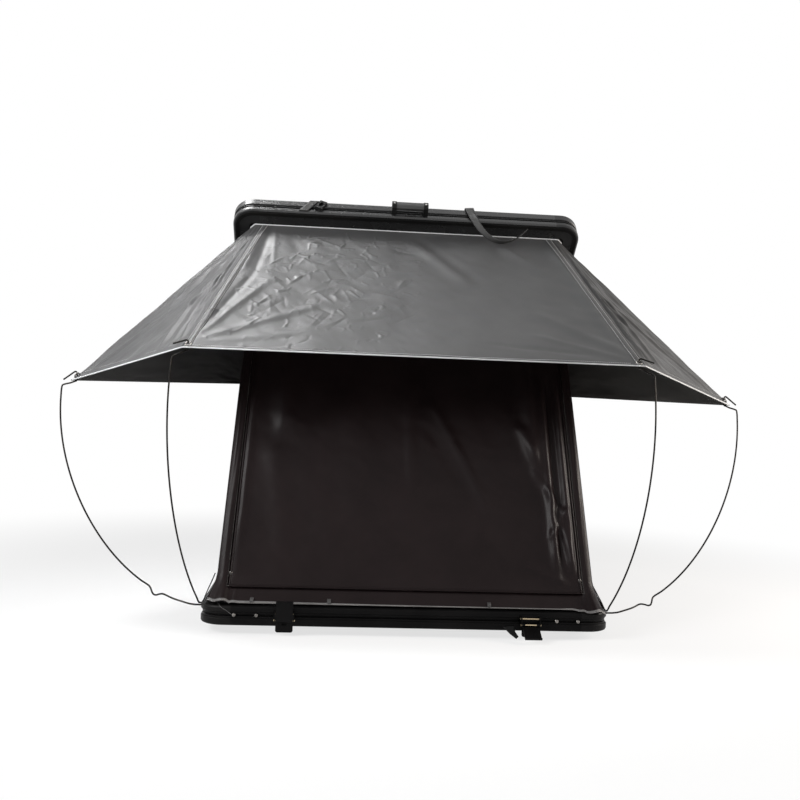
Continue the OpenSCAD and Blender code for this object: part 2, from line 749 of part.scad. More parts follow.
module lid_panel() {
  g = skin_t + panel_gap;
  color([0.1, 0.1, 0.11]) opened() translate([0, 0, lid_z + lid_h - skin_t - lid_panel_t])
    slab(shell_w - 2 * g, shell_l - 2 * g, corner_r - g, lid_panel_t);
}

module lid_lining() {
  g = skin_t + groove_d + 2 * panel_gap;
  color([0.3, 0.3, 0.3]) opened() translate([0, 0, lid_z + lid_h - skin_t - lid_panel_t - lining_t])
    slab(shell_w - 2 * g, shell_l - 2 * g, corner_r - g, lining_t);
}

// Ribbed rubber seal under the lid's rim
module lid_seal() {
  color([0.03, 0.03, 0.03]) opened() translate([0, 0, lid_z - seal_gap + soft_gap]) difference() {
    outline_ring(10, 24, seal_gap - soft_gap);
    translate([0, 0, -1]) outline_ring(14, 16, 3);
    translate([0, 0, -1]) outline_ring(18, 20, 3);
  }
}

module awning_track() {
  color([0.5, 0.5, 0.5]) opened() translate([0, 0, lid_z - track_t])
    outline_ring(awn_inset - track_w / 2 - 1, awn_inset - 1, track_t);
}

// Grab handle on the lid's entry face
module handle_lugs() {
  z = lid_z + handle_up;
  color([0.05, 0.05, 0.05]) opened() pair() translate([grip_l / 2, -hl, z]) rotate([0, 90, 0])
    linear_extrude(lug_w) polygon([[-20, 0], [18, 0], [17, -lug_out + 12], [10, -lug_out], [-11, -lug_out], [-17, -lug_out + 7]]);
}

module handle_grip() {
  z = lid_z + handle_up;
  color([0.13, 0.13, 0.14]) opened() translate([-grip_l / 2, -hl, z]) rotate([0, 90, 0])
    linear_extrude(grip_l) polygon([[-14, -lug_out + 25], [14, -lug_out + 25], [15, -lug_out + 14], [11, -lug_out + 4],
      [7, -lug_out + 1], [-9, -lug_out + 1], [-14, -lug_out + 7]]);
}

module handle_screws() {
  z = lid_z + handle_up;
  color([0.6, 0.6, 0.6]) opened() pair() translate([grip_l / 2 + lug_w / 2, -hl - lug_out - 1.5, z - 1])
    rotate([-90, 0, 0]) cylinder(d = 9, h = 1.5);
}

// Closing straps on the lid's entry face
module strap_anchors() {
  z = lid_z + lid_h;
  color([0.4, 0.4, 0.4]) opened() for (x = [-strap_x + 20, strap_right_x]) translate([x - 22, -hl + 10, z]) cube([44, 24, 3]);
}

// Left strap: lies slantwise across the entry face
module strap_left() {
  top = lid_z + lid_h;
  function pt(s, k) = let (c = [[20, -hl + 34, top + 3.5], [20, -hl + 6, top + 4], [19, -hl - 1, top + 1],
    [17, -hl - 1.5, top - 6], [-2, -hl - soft_gap, lid_z + 40], [-24, -hl - soft_gap, lid_z + 6]][k])
    [c[0] - strap_x + s * strap_w / 2, c[1], c[2]];
  color([0.12, 0.12, 0.12]) opened() cloth([for (s = [1, -1]) [for (k = [5:-1:0]) pt(s, k)]], strap_t);
}

module strap_buckle() {
  color([0.04, 0.04, 0.04]) opened() translate([44 - strap_x, -hl - 12, lid_z + 44]) rotate([0, 25, 0]) difference() {
    translate([-12, 0, -24]) cube([30, 12, 48]);
    translate([-5, -1, -13]) cube([16, 9, 26]);
  }
}

// Right strap: over the rim and hanging free in a curl
module strap_right() {
  top = lid_z + lid_h;
  function mid(t) = bez(lid_pt(strap_right_x, -hl - 6, top + 2), lid_pt(strap_right_x + 5, -hl - 40, lid_z - 40),
    lid_pt(strap_right_x + 85, -hl + 60, lid_z - 190), lid_pt(strap_right_x + 207, -hl - 50, lid_z - 108), t);
  function side(t) = unit([0.8 - 0.5 * t, -0.3 - 0.5 * t, 0.5 * t]);
  function pt(s, k) = k == 0 ? lid_pt(strap_right_x + s * strap_w / 2, -hl + 36, top + 3.5)
    : k == 1 ? lid_pt(strap_right_x + s * strap_w / 2, -hl + 10, top + 4)
    : let (t = (k - 2) / 14) mid(t) + s * (strap_w / 2) * (1 - 0.55 * t) * side(t);
  color([0.14, 0.14, 0.14]) cloth([for (s = [-1, 1]) [for (k = [0:16]) pt(s, k)]], strap_t);
}

// Awning

awn_z = lid_z - track_t - soft_gap;
awn_B = [awn_front_x, awn_front_y, awn_front_z];
awn_C = [awn_side_x, awn_side_y, awn_side_z];
awn_A = lid_pt(awn_top_x, -hl + awn_inset, awn_z);
awn_K = lid_pt(hw - awn_inset - 18, -hl + awn_inset, awn_z);
awn_E = lid_pt(hw - awn_inset, -hl + awn_inset + 18, awn_z);
awn_D = lid_pt(hw - awn_inset, hinge_y - awn_side_run, awn_z);
awn_D2 = awn_D + unit(awn_C - awn_D) * 30;
eyelet_in = 26;
eyelet_B = awn_B + eyelet_in * unit(unit([0, awn_A[1] - awn_B[1], awn_A[2] - awn_B[2]]) + [-0.95, 0, 0]);
eyelet_C = awn_C + eyelet_in * unit(awn_E - awn_C);
norm_B = unit(cross([1, 0, 0], [0, awn_A[1] - awn_B[1], awn_A[2] - awn_B[2]]));
norm_C = unit(cross(awn_D2 - awn_B, awn_C - awn_E) * -1);

function mix(a, b, t) = a + (b - a) * t;

// Front panel: s across from -1 to 1, t down from the lid
function front_pt(s, t) = let (p = mix([awn_A[0], awn_A[1], awn_A[2]], awn_B, t))
  [s * (p[0] - hip_gap), p[1] + 14 * sin(180 * t) * (1 - s * s) * 0.65 + 3 * sin(s * 900) * sin(180 * t),
   p[2] - 14 * sin(180 * t) * (1 - s * s) * 0.76];

// Side panel: k runs from the hip seam, over the ridge at 0.5, to the rear point
function side_top(k) = k < 0.25 ? mix(awn_A, awn_K, k * 4) : k < 0.5 ? mix(awn_K, awn_E, k * 4 - 1)
  : mix(awn_E, awn_D, k * 2 - 1);
function side_low(k) = k < 0.5 ? mix(awn_B, awn_C, k * 2) : mix(awn_C, awn_D2, k * 2 - 1);
function awn_side_pt(k, t) = let (p = mix(side_top(k), side_low(k), t), d = 16 * sin(180 * t) * abs(sin(360 * k)))
  [p[0] - d * 0.7 + hip_gap, p[1] + d * 0.3, p[2] - d * 0.6];

module on_cloth(p, n) {
  translate(p) rotate([0, acos(n[2]), atan2(n[1], n[0])]) children();
}

module eyelet_cut(p, n) {
  on_cloth(p, n) translate([0, 0, -20]) cylinder(r = eyelet_r + fit, h = 40);
}

module eyelet(p, n) {
  color([0.5, 0.5, 0.5]) on_cloth(p, n) translate([0, 0, -eyelet_t / 2 - cloth_t / 2]) difference() {
    cylinder(r = eyelet_r, h = eyelet_t);
    translate([0, 0, -1]) cylinder(r = eyelet_hole, h = eyelet_t + 2);
  }
}

module awning_front() {
  color([0.5, 0.5, 0.51]) difference() {
    cloth([for (i = [0:24]) [for (j = [0:8]) front_pt(i / 12 - 1, 1 - j / 8)]], cloth_t);
    pair() eyelet_cut(eyelet_B, norm_B);
  }
}

module awning_side() {
  color([0.48, 0.47, 0.45]) difference() {
    cloth([for (i = [0:24]) [for (j = [0:8]) awn_side_pt(i / 24, 1 - j / 8)]], cloth_t);
    eyelet_cut(eyelet_C, norm_C);
  }
}

module awning_right() {
  awning_side();
}

module awning_left() {
  mirror([1, 0, 0]) awning_side();
}

module eyelets_front() {
  pair() eyelet(eyelet_B, norm_B);
}

module eyelet_right() {
  eyelet(eyelet_C, norm_C);
}

module eyelet_left() {
  mirror([1, 0, 0]) eyelet(eyelet_C, norm_C);
}

// Awning rods: spring steel, a straight foot in the socket and a hook through the eyelet

rod_in = hw - 70;
rod_z = base_top - socket_z;

// From the rod's top p: in below the cloth, up through the eyelet q, and back out above it to the tip
function hook(p, q, tip) = [p, mix(p, q + [0, 0, -22], 0.5), q + [8, 0, -22], q + [2, 0, -20], q + [0, 0, -13], q + [0, 0, 9],
  q + [2, 0, 15], q + [8, 0, 18], mix(q + [8, 0, 18], tip, 0.5), tip];

module rod_front() {
  y = -hl + socket_front;
  foot = [[rod_in, y, rod_z], [hw + 4, y, rod_z], [hw + 10, y, rod_z + 2], [hw + 14, y - 1, rod_z + 8]];
  rise = awn_front_z - rod_z;
  bow = curve([hw + 17, y - 2, rod_z + 16], [awn_front_x + 15, awn_front_y - 5, rod_z + 0.261 * rise],
    [awn_front_x + 53, awn_front_y - 35, rod_z + 0.644 * rise], awn_B + [31, -7, -39], 22);
  color([0.06, 0.06, 0.07]) swept(concat(foot, bow, hook(awn_B + [25, -5, -29], eyelet_B, awn_B + [27, -7, 15])),
    rod_d / 2, 8, [0, 1, 0.02]);
}

module rod_front_right() {
  rod_front();
}

module rod_front_left() {
  mirror([1, 0, 0]) rod_front();
}

// The side rods have a set bend just outside the socket
module rod_side() {
  y = -hl + socket_side;
  foot = [[rod_in, y, rod_z], [hw + 20, y, rod_z], [hw + 60, y + 10, rod_z + 6], [hw + 100, y + 28, rod_z + 14],
    [hw + 126, y + 46, rod_z + 21], [hw + 137, y + 46, rod_z + 24], [hw + 146, y + 32, rod_z + 25],
    [hw + 152, y + 18, rod_z + 25], [hw + 160, y + 16, rod_z + 28], [hw + 168, y + 28, rod_z + 34]];
  rise = awn_side_z - rod_z;
  bow = curve([hw + 182, y + 52, rod_z + 49], [awn_side_x - 134, awn_side_y - 150, rod_z + 0.215 * rise],
    [awn_side_x + 47, awn_side_y - 35, rod_z + 0.597 * rise], awn_C + [35, 8, -24], 22);
  color([0.06, 0.06, 0.07]) swept(concat(foot, bow, hook(awn_C + [27, 8, -16], eyelet_C, awn_C + [29, 8, 6])),
    rod_d / 2, 8, [0, 1, 0.02]);
}

module rod_side_right() {
  rod_side();
}

module rod_side_left() {
  mirror([1, 0, 0]) rod_side();
}

base_extrusions();
base_corners();
floor_panel();
rail_tops();
rail_sides();
rail_lips();
rail_bolts();
mattress();
rod_sockets();
base_hinge_leaves();
hinge_pins();
base_hinge_screws();
strut_base_brackets();
latch_brackets();
latch_pins();
face_screws();
wall_track();
hem_piping();
front_wall();
entry_door();
left_wall();
right_wall();
hem_ties();
corner_guys();
hem_tabs();
zip_sliders();
webbing_tail();
lid_extrusions();
lid_corners();
lid_panel();
lid_lining();
lid_seal();
awning_track();
handle_lugs();
handle_grip();
handle_screws();
lid_hinge_leaves();
lid_hinge_screws();
strut_lid_brackets();
strap_left();
strap_buckle();
strap_right();
strap_anchors();
awning_front();
awning_left();
awning_right();
eyelets_front();
eyelet_left();
eyelet_right();
rod_front_left();
rod_front_right();
rod_side_left();
rod_side_right();
strut_tube_left();
strut_tube_right();
strut_piston_left();
strut_piston_right();
latch_lever_left();
latch_lever_right();
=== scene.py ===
# %% [markdown]
# # A hard-shell roof tent, dressed in Blender
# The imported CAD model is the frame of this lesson: every rigid piece is already in place, in metres. What
# is added here is the cloth, the webbing, the seams and the finish of each surface. The frame is loaded
# first, because the rim, the lid and the hinge that the cloth hangs from are read from it.

# %% Load the frame
import json
import math
import random

import bpy
import numpy as np
from mathutils import Matrix, Vector

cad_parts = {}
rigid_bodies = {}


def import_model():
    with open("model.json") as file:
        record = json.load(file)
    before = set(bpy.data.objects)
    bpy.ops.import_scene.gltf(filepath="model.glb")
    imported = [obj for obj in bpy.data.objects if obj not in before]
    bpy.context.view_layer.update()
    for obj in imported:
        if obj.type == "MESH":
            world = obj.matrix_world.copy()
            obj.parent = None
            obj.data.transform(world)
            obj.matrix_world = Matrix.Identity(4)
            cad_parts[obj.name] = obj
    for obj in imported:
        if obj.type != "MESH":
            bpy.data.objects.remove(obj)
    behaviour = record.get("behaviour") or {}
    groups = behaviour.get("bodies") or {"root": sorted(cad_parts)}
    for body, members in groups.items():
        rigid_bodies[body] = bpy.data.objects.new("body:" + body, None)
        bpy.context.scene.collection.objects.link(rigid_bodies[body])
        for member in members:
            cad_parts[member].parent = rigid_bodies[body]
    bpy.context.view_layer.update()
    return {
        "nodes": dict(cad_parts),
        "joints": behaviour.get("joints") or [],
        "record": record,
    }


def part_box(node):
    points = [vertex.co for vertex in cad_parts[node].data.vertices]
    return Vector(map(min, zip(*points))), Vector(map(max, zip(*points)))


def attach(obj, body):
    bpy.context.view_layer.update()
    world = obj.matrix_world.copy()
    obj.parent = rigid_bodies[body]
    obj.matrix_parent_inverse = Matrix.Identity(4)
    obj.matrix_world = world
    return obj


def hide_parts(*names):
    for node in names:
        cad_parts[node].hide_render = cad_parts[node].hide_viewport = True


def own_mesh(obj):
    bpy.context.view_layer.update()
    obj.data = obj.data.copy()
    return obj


for leftover in list(bpy.data.objects):
    bpy.data.objects.remove(leftover)
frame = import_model()
nodes = frame["nodes"]

# %% [markdown]
# ## Sizes that the cloth hangs from
# The tent's cloth follows three things: the base rim, the lid's rim and the points where the rods hold
# the awning. A lid is easiest to measure shut, so one small function carries points of the shut lid to
# the open one. It takes single numbers or whole grids.

# %% Hinge line, shell size and the open lid
LID_HEIGHT = 0.075
SIDES = (("right", 1), ("left", -1))
hinge = next(j for j in frame["joints"] if j["name"] == "lid_hinge")
HINGE_Y, HINGE_Z = hinge["pos_m"][1], hinge["pos_m"][2]
OPEN = math.radians(hinge["range_deg"][1])
HALF_W, HALF_L, RIM_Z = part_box("base_extrusions")[1]
LID_Z = 2 * HINGE_Z - RIM_Z
LID_TOP = LID_Z + LID_HEIGHT


def point(*xyz):
    return np.array(xyz, float)


def mirrored(sign):
    """A factor for points: 1 leaves them at the right, -1 carries them to the left."""
    return point(sign, 1, 1)


def on_lid(x, y, z):
    """Points of the shut lid, carried to the open lid."""
    dy, dz = y - HINGE_Y, z - HINGE_Z
    c, s = math.cos(OPEN), math.sin(OPEN)
    return np.stack(np.broadcast_arrays(x, HINGE_Y + dy * c + dz * s, HINGE_Z - dy * s + dz * c), axis=-1)


print("shell half width %.3f, half length %.3f, rim %.3f" % (HALF_W, HALF_L, RIM_Z))

# %% [markdown]
# ## Camera
# A camera has a place, three turns and a lens. These were solved from the straight edges of the base and
# the lid, so the render can be laid over the photograph. The camera is rolled by two degrees, as one held
# in the hand often is, so its three axes are worked out and written into its matrix.

# %% Camera at the photograph's view
CAMERA_AT = Vector((-0.2964, -4.2029, 0.76454))
YAW, PITCH, ROLL = math.radians(4.36965), math.radians(0.62699), math.radians(2.1047)
SENSOR_MM, LENS_MM = 36.0, 42.21

forward = Vector((math.sin(YAW) * math.cos(PITCH), math.cos(YAW) * math.cos(PITCH), math.sin(PITCH)))
level = Vector((math.cos(YAW), -math.sin(YAW), 0))
upright = level.cross(forward)
right = level * math.cos(ROLL) + upright * math.sin(ROLL)
up = upright * math.cos(ROLL) - level * math.sin(ROLL)
lens = bpy.data.cameras.new("camera")
lens.sensor_width, lens.lens = SENSOR_MM, LENS_MM
camera = bpy.data.objects.new("camera", lens)
camera.matrix_world = Matrix((
    (right.x, up.x, -forward.x, CAMERA_AT.x),
    (right.y, up.y, -forward.y, CAMERA_AT.y),
    (right.z, up.z, -forward.z, CAMERA_AT.z),
    (0, 0, 0, 1)))
bpy.context.scene.collection.objects.link(camera)
bpy.context.scene.camera = camera
bpy.context.scene.view_settings.view_transform = "Standard"
print("camera %.2f m from the middle, lens %.1f mm" % (CAMERA_AT.length, LENS_MM))

# %% [markdown]
# ## Node helpers
# Materials are graphs. A few short helpers keep them readable: one adds a node and sets its values by
# name, one starts a material with its main shader, and the others add soft noise, a colour between two
# tones, and relief. Constant numbers go straight onto the shader's own sockets.


# %% Helpers for material nodes
def add(tree, kind, links=None, **values):
    """A node with its properties or input values set by name, and its inputs linked."""
    made = tree.nodes.new(kind)
    for key, value in values.items():
        name = key.replace("_", " ").title()
        if key in made.bl_rna.properties:
            setattr(made, key, value)
        else:
            made.inputs[name].default_value = value
    for name, source in (links or {}).items():
        tree.links.new(source, made.inputs[name])
    return made


def finish(name, colour, roughness, metallic=0.0, specular=0.5):
    """A new material: itself, its node tree and its main shader."""
    made = bpy.data.materials.new(name)
    made.use_nodes = True
    shader = made.node_tree.nodes["Principled BSDF"]
    shader.inputs["Base Color"].default_value = (*colour, 1)
    shader.inputs["Roughness"].default_value = roughness
    shader.inputs["Metallic"].default_value = metallic
    shader.inputs["Specular IOR Level"].default_value = specular
    return made, made.node_tree, shader


def stretch(tree, noise, low, high):
    """The middle values of a noise texture, stretched to run from low to high."""
    return add(tree, "ShaderNodeMapRange", {"Value": noise.outputs["Fac"]}, from_min=0.3, from_max=0.7,
               to_min=low, to_max=high).outputs["Result"]


def blotch(tree, where, scale, low, high):
    """Soft clouds that run from low to high."""
    cloud = add(tree, "ShaderNodeTexNoise", {"Vector": where}, scale=scale, detail=4.0)
    return stretch(tree, cloud, low, high)


def shade(tree, shader, factor, dark, light):
    """The shader's colour, between two tones by a factor."""
    mix = add(tree, "ShaderNodeMix", {"Factor": factor}, data_type="RGBA")
    mix.inputs[6].default_value = (*dark, 1)
    mix.inputs[7].default_value = (*light, 1)
    tree.links.new(mix.outputs[2], shader.inputs["Base Color"])


def emboss(tree, shader, height, distance, strength):
    """Fine relief on the shader's normal."""
    bump = add(tree, "ShaderNodeBump", {"Height": height}, strength=strength, distance=distance)
    tree.links.new(bump.outputs["Normal"], shader.inputs["Normal"])


# %% [markdown]
# ## Hard finishes
# Powder coat is a baked plastic skin: nearly black, with a fine orange-peel surface and a little dust.
# Bare metals get fine scratches in their roughness. An image could be laid on them, but noise on object
# coordinates needs no unwrapping and has the same grain on every piece.

# %% Coats and bare metals
DUST_SCALE, WEAR_SCALE, TARNISH_SCALE = 7.0, 23.0, 60.0
SCRATCH_STRETCH, SCRATCH_DEPTH = (300, 40, 300), 0.00008


def coated(name, dark, light, rough, grain, depth, gloss=0.3):
    """A coat with a fine grain, and dust that makes it lighter and duller in places."""
    made, tree, shader = finish(name, dark, sum(rough) / 2, specular=gloss)
    where = add(tree, "ShaderNodeTexCoord").outputs["Object"]
    shade(tree, shader, blotch(tree, where, DUST_SCALE, 0.0, 1.0), dark, light)
    tree.links.new(blotch(tree, where, WEAR_SCALE, *rough), shader.inputs["Roughness"])
    peel = add(tree, "ShaderNodeTexNoise", {"Vector": where}, scale=grain, detail=2.0)
    emboss(tree, shader, peel.outputs["Fac"], depth, 0.5)
    return made


def bare_metal(name, dark, light, rough):
    """Metal with fine scratches along one way."""
    made, tree, shader = finish(name, light, sum(rough) / 2, metallic=1.0)
    where = add(tree, "ShaderNodeTexCoord").outputs["Object"]
    drawn = add(tree, "ShaderNodeMapping", {"Vector": where}, scale=SCRATCH_STRETCH)
    scratch = add(tree, "ShaderNodeTexNoise", {"Vector": drawn.outputs["Vector"]}, scale=3.0, detail=6.0)
    tree.links.new(stretch(tree, scratch, *rough), shader.inputs["Roughness"])
    shade(tree, shader, blotch(tree, where, TARNISH_SCALE, 0.0, 1.0), dark, light)
    emboss(tree, shader, scratch.outputs["Fac"], SCRATCH_DEPTH, 0.3)
    return made


print("dust in clouds of about %.0f mm" % (1000 / DUST_SCALE))

# %% Shell, plastic and rubber finishes
# powder_coat and corner_cast are set darker and duller than the lid's copies of the same coat: painted shade
# on the base
powder_coat = coated("powder_coat", (0.0022, 0.0021, 0.0022), (0.0060, 0.0057, 0.0058),
                     rough=(0.30, 0.46), grain=900.0, depth=0.0004, gloss=0.06)
corner_cast = coated("corner_cast", (0.0040, 0.0037, 0.0037), (0.0100, 0.0094, 0.0092),
                     rough=(0.34, 0.50), grain=600.0, depth=0.0005, gloss=0.09)
# painted light: the lid's coat and castings are the base's powder coat and castings, copied lighter and
# glossier for the lid
lid_coat_painted_light = coated("lid_coat_painted_light", (0.0064, 0.0064, 0.0067), (0.0140, 0.0140, 0.0144),
                  rough=(0.20, 0.32), grain=900.0, depth=0.0004, gloss=0.70)
lid_cast_painted_light = coated("lid_cast_painted_light", (0.0095, 0.0095, 0.0100), (0.0190, 0.0190, 0.0196),
                  rough=(0.30, 0.44), grain=600.0, depth=0.0005, gloss=0.38)
black_plastic = coated("black_plastic", (0.0050, 0.0050, 0.0050), (0.0110, 0.0110, 0.0110),
                       rough=(0.38, 0.55), grain=1400.0, depth=0.0004, gloss=0.15)
grip_plastic = coated("grip_plastic", (0.0170, 0.0170, 0.0175), (0.0360, 0.0360, 0.0366),
                      rough=(0.28, 0.42), grain=1400.0, depth=0.0005, gloss=0.80)
seal_rubber = coated("seal_rubber", (0.0040, 0.0040, 0.0040), (0.0090, 0.0086, 0.0082),
                     rough=(0.60, 0.80), grain=500.0, depth=0.0003, gloss=0.10)
strut_paint = coated("strut_paint", (0.008, 0.008, 0.009), (0.014, 0.014, 0.015),
                     rough=(0.18, 0.30), grain=300.0, depth=0.0001)
floor_board = coated("floor_board", (0.10, 0.10, 0.105), (0.15, 0.15, 0.155),
                     rough=(0.50, 0.65), grain=250.0, depth=0.0006)
print("materials so far:", len(bpy.data.materials))

# %% Bare metal finishes
rod_steel = bare_metal("rod_steel", (0.008, 0.008, 0.0085), (0.026, 0.023, 0.020), rough=(0.25, 0.45))
rail_metal = bare_metal("rail_metal", (0.50, 0.51, 0.53), (0.66, 0.67, 0.69), rough=(0.30, 0.50))
screw_steel = bare_metal("screw_steel", (0.34, 0.33, 0.32), (0.60, 0.59, 0.57), rough=(0.22, 0.42))
zip_metal = bare_metal("zip_metal", (0.05, 0.048, 0.046), (0.30, 0.29, 0.27), rough=(0.16, 0.34))
face_steel = bare_metal("face_steel", (0.10, 0.095, 0.09), (0.34, 0.32, 0.30), rough=(0.20, 0.36))
draw_brass = bare_metal("draw_brass", (0.40, 0.32, 0.21), (0.60, 0.50, 0.34), rough=(0.22, 0.38))
print("with bare metals:", len(bpy.data.materials))

# %% [markdown]
# ## Cloth finishes
# The awning is a coated weave: silver-grey above, black below. The walls are a heavier brown-black cloth
# with a faint shine. Their threads follow the piece's own UV map, which is laid out in metres, so that a
# thread is as wide as a real one. The base's hem, its binding and tabs, and the stitches are too small to
# show a weave, so they get a plain coat.

# %% Woven finishes on a UV map in metres
# A wave texture of scale 1 turns by this many radians in a metre
WAVE_TURN = 20.0
CLOTH_WEAR_SCALE = 11.0


def woven(name, dark, light, rough, thread, depth, sheen=0.0, patch=5.0, gloss=0.4):
    """Cloth of crossing threads, with a soft cloud of tone."""
    made, tree, shader = finish(name, dark, sum(rough) / 2, specular=gloss)
    shader.inputs["Sheen Weight"].default_value = sheen
    shader.inputs["Sheen Roughness"].default_value = 0.4
    cloth_uv = add(tree, "ShaderNodeTexCoord").outputs["UV"]
    where = add(tree, "ShaderNodeTexCoord").outputs["Object"]
    per_metre = 1.0 / thread / WAVE_TURN * 2 * math.pi
    cross = add(tree, "ShaderNodeMath", operation="MULTIPLY")
    for socket, way in zip(cross.inputs, "XY"):
        threads = add(tree, "ShaderNodeTexWave", {"Vector": cloth_uv}, bands_direction=way, scale=per_metre,
                      distortion=0.6)
        tree.links.new(threads.outputs["Fac"], socket)
    shade(tree, shader, blotch(tree, where, patch, 0.0, 1.0), dark, light)
    tree.links.new(blotch(tree, where, CLOTH_WEAR_SCALE, *rough), shader.inputs["Roughness"])
    emboss(tree, shader, cross.outputs[0], depth, 0.4)
    return made


print("a wave scale of %.0f gives threads 1 mm wide" % (2 * math.pi / 0.001 / WAVE_TURN))

# %% Awning, wall, webbing and padding cloths
awning_silver = woven("awning_silver", (0.043, 0.043, 0.044), (0.056, 0.056, 0.057),
                      rough=(0.46, 0.56), thread=0.0011, depth=0.00010, gloss=0.60)
# painted light: the wings' cloth is the front panel's silver cloth, copied with a lighter tone and far less
# shine, set for how the light falls on the wings
awning_wing = woven("awning_wing", (0.062, 0.062, 0.063), (0.082, 0.082, 0.083),
                    rough=(0.36, 0.48), thread=0.0011, depth=0.00010, gloss=0.10)
awning_black = woven("awning_black", (0.046, 0.0450, 0.0440), (0.062, 0.061, 0.060),
                     rough=(0.50, 0.64), thread=0.0011, depth=0.00010, gloss=0.15)
wall_cloth = woven("wall_cloth", (0.0088, 0.0056, 0.0058), (0.0134, 0.0088, 0.0091),
                   rough=(0.28, 0.38), thread=0.0013, depth=0.00014, gloss=0.10)
seam_tape = woven("seam_tape", (0.055, 0.055, 0.056), (0.075, 0.075, 0.076),
                  rough=(0.44, 0.56), thread=0.0016, depth=0.00018)
strap_weave = woven("strap_weave", (0.010, 0.010, 0.010), (0.026, 0.025, 0.024),
                    rough=(0.45, 0.65), thread=0.0032, depth=0.00060, sheen=0.05, patch=30.0, gloss=0.3)
cord_black = woven("cord_black", (0.005, 0.005, 0.005), (0.010, 0.010, 0.010),
                   rough=(0.55, 0.70), thread=0.0012, depth=0.00020, gloss=0.1)
piping_white = woven("piping_white", (0.50, 0.51, 0.52), (0.66, 0.67, 0.68),
                     rough=(0.45, 0.60), thread=0.0009, depth=0.00012)
bed_cover = woven("bed_cover", (0.20, 0.20, 0.205), (0.27, 0.27, 0.275),
                  rough=(0.65, 0.80), thread=0.0020, depth=0.00030, sheen=0.2)
lining_cloth = woven("lining_cloth", (0.26, 0.26, 0.26), (0.33, 0.33, 0.33),
                     rough=(0.65, 0.80), thread=0.0022, depth=0.00030, sheen=0.2)
print("with cloths:", len(bpy.data.materials))

# %% Hem, binding, tab and thread finishes
hem_grey = coated("hem_grey", (0.07, 0.068, 0.068), (0.13, 0.127, 0.127),
                  rough=(0.45, 0.60), grain=700.0, depth=0.0003)
binding_pale = coated("binding_pale", (0.105, 0.102, 0.101), (0.19, 0.185, 0.183),
                      rough=(0.45, 0.60), grain=700.0, depth=0.0003)
tab_grey = coated("tab_grey", (0.035, 0.034, 0.034), (0.070, 0.068, 0.068),
                  rough=(0.45, 0.60), grain=700.0, depth=0.0003)
thread_pale = coated("thread_pale", (0.42, 0.42, 0.42), (0.56, 0.56, 0.56),
                     rough=(0.55, 0.70), grain=900.0, depth=0.0001)
print("with hems and thread:", len(bpy.data.materials))

# %% [markdown]
# ## Dress the rigid nodes
# A CAD node with the right shape only needs a finish. The record already says which slot each node
# belongs to, so a table from slot to finish dresses most of them. A few nodes are named one by one.

# %% Finishes on the rigid nodes
slot_of = {s["node"]: s["material_slot"] for s in frame["record"]["subparts"]}
by_slot = {"steel": screw_steel, "rubber": seal_rubber, "black_plastic": black_plastic,
           "board": floor_board, "wall_cloth": wall_cloth, "awning_cloth": awning_silver,
           "webbing": strap_weave, "piping": hem_grey, "mattress": bed_cover, "lining": lining_cloth}
by_node = {"base_corners": corner_cast, "lid_corners": lid_cast_painted_light, "lid_extrusions": lid_coat_painted_light,
           "lid_panel": lid_coat_painted_light, "handle_grip": grip_plastic, "face_screws": face_steel,
           "latch_pins": draw_brass, "strap_anchors": black_plastic, "rail_tops": rail_metal,
           "rail_sides": rail_metal, "rail_lips": rail_metal, "strut_tube_left": strut_paint,
           "strut_tube_right": strut_paint}
for name, piece in nodes.items():
    piece.data.materials.clear()
    piece.data.materials.append(by_node.get(name) or by_slot.get(slot_of[name], powder_coat))
print("slots:", sorted(set(slot_of.values())))

# %% [markdown]
# ## Cloth as a grid of points
# Cloth could be simulated, but a formula is easier to steer and the same on each run. So every sheet is a
# grid of points. A Solidify modifier gives it a thickness and a second finish on its back, and is then
# worked into a plain mesh.


# %% Meshes from points
def unit(v):
    v = np.asarray(v, float)
    return v / np.linalg.norm(v)


def between(a, b, t):
    return a + (b - a) * t


def plain(piece):
    """The piece's modifiers worked into a plain mesh."""
    bpy.context.view_layer.update()
    seen = piece.evaluated_get(bpy.context.evaluated_depsgraph_get())
    mesh = bpy.data.meshes.new_from_object(seen)
    piece.modifiers.clear()
    piece.data = mesh
    return piece


def mesh_piece(name, points, faces, finishes, uv=None):
    """A smooth mesh object at the origin, with its place in its points."""
    mesh = bpy.data.meshes.new(name)
    mesh.from_pydata([tuple(p) for p in points], [], faces)
    for made_of in finishes:
        mesh.materials.append(made_of)
    if uv is not None:
        layer = mesh.uv_layers.new(name="metres")
        for loop in mesh.loops:
            layer.data[loop.index].uv = uv[loop.vertex_index]
    for face in mesh.polygons:
        face.use_smooth = True
    mesh.validate()
    piece = bpy.data.objects.new(name, mesh)
    bpy.context.scene.collection.objects.link(piece)
    return piece


def settle(piece, body, slot, *replaced):
    """The piece rides a body and stands for its CAD nodes, which it hides; the slot is not used."""
    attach(piece, body)
    if replaced:
        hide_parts(*replaced)
    return piece


# %% Sheets of cloth
def run_along(line):
    """How far each point of a line is from its start."""
    return np.concatenate([[0], np.cumsum(np.linalg.norm(np.diff(line, axis=0), axis=1))])


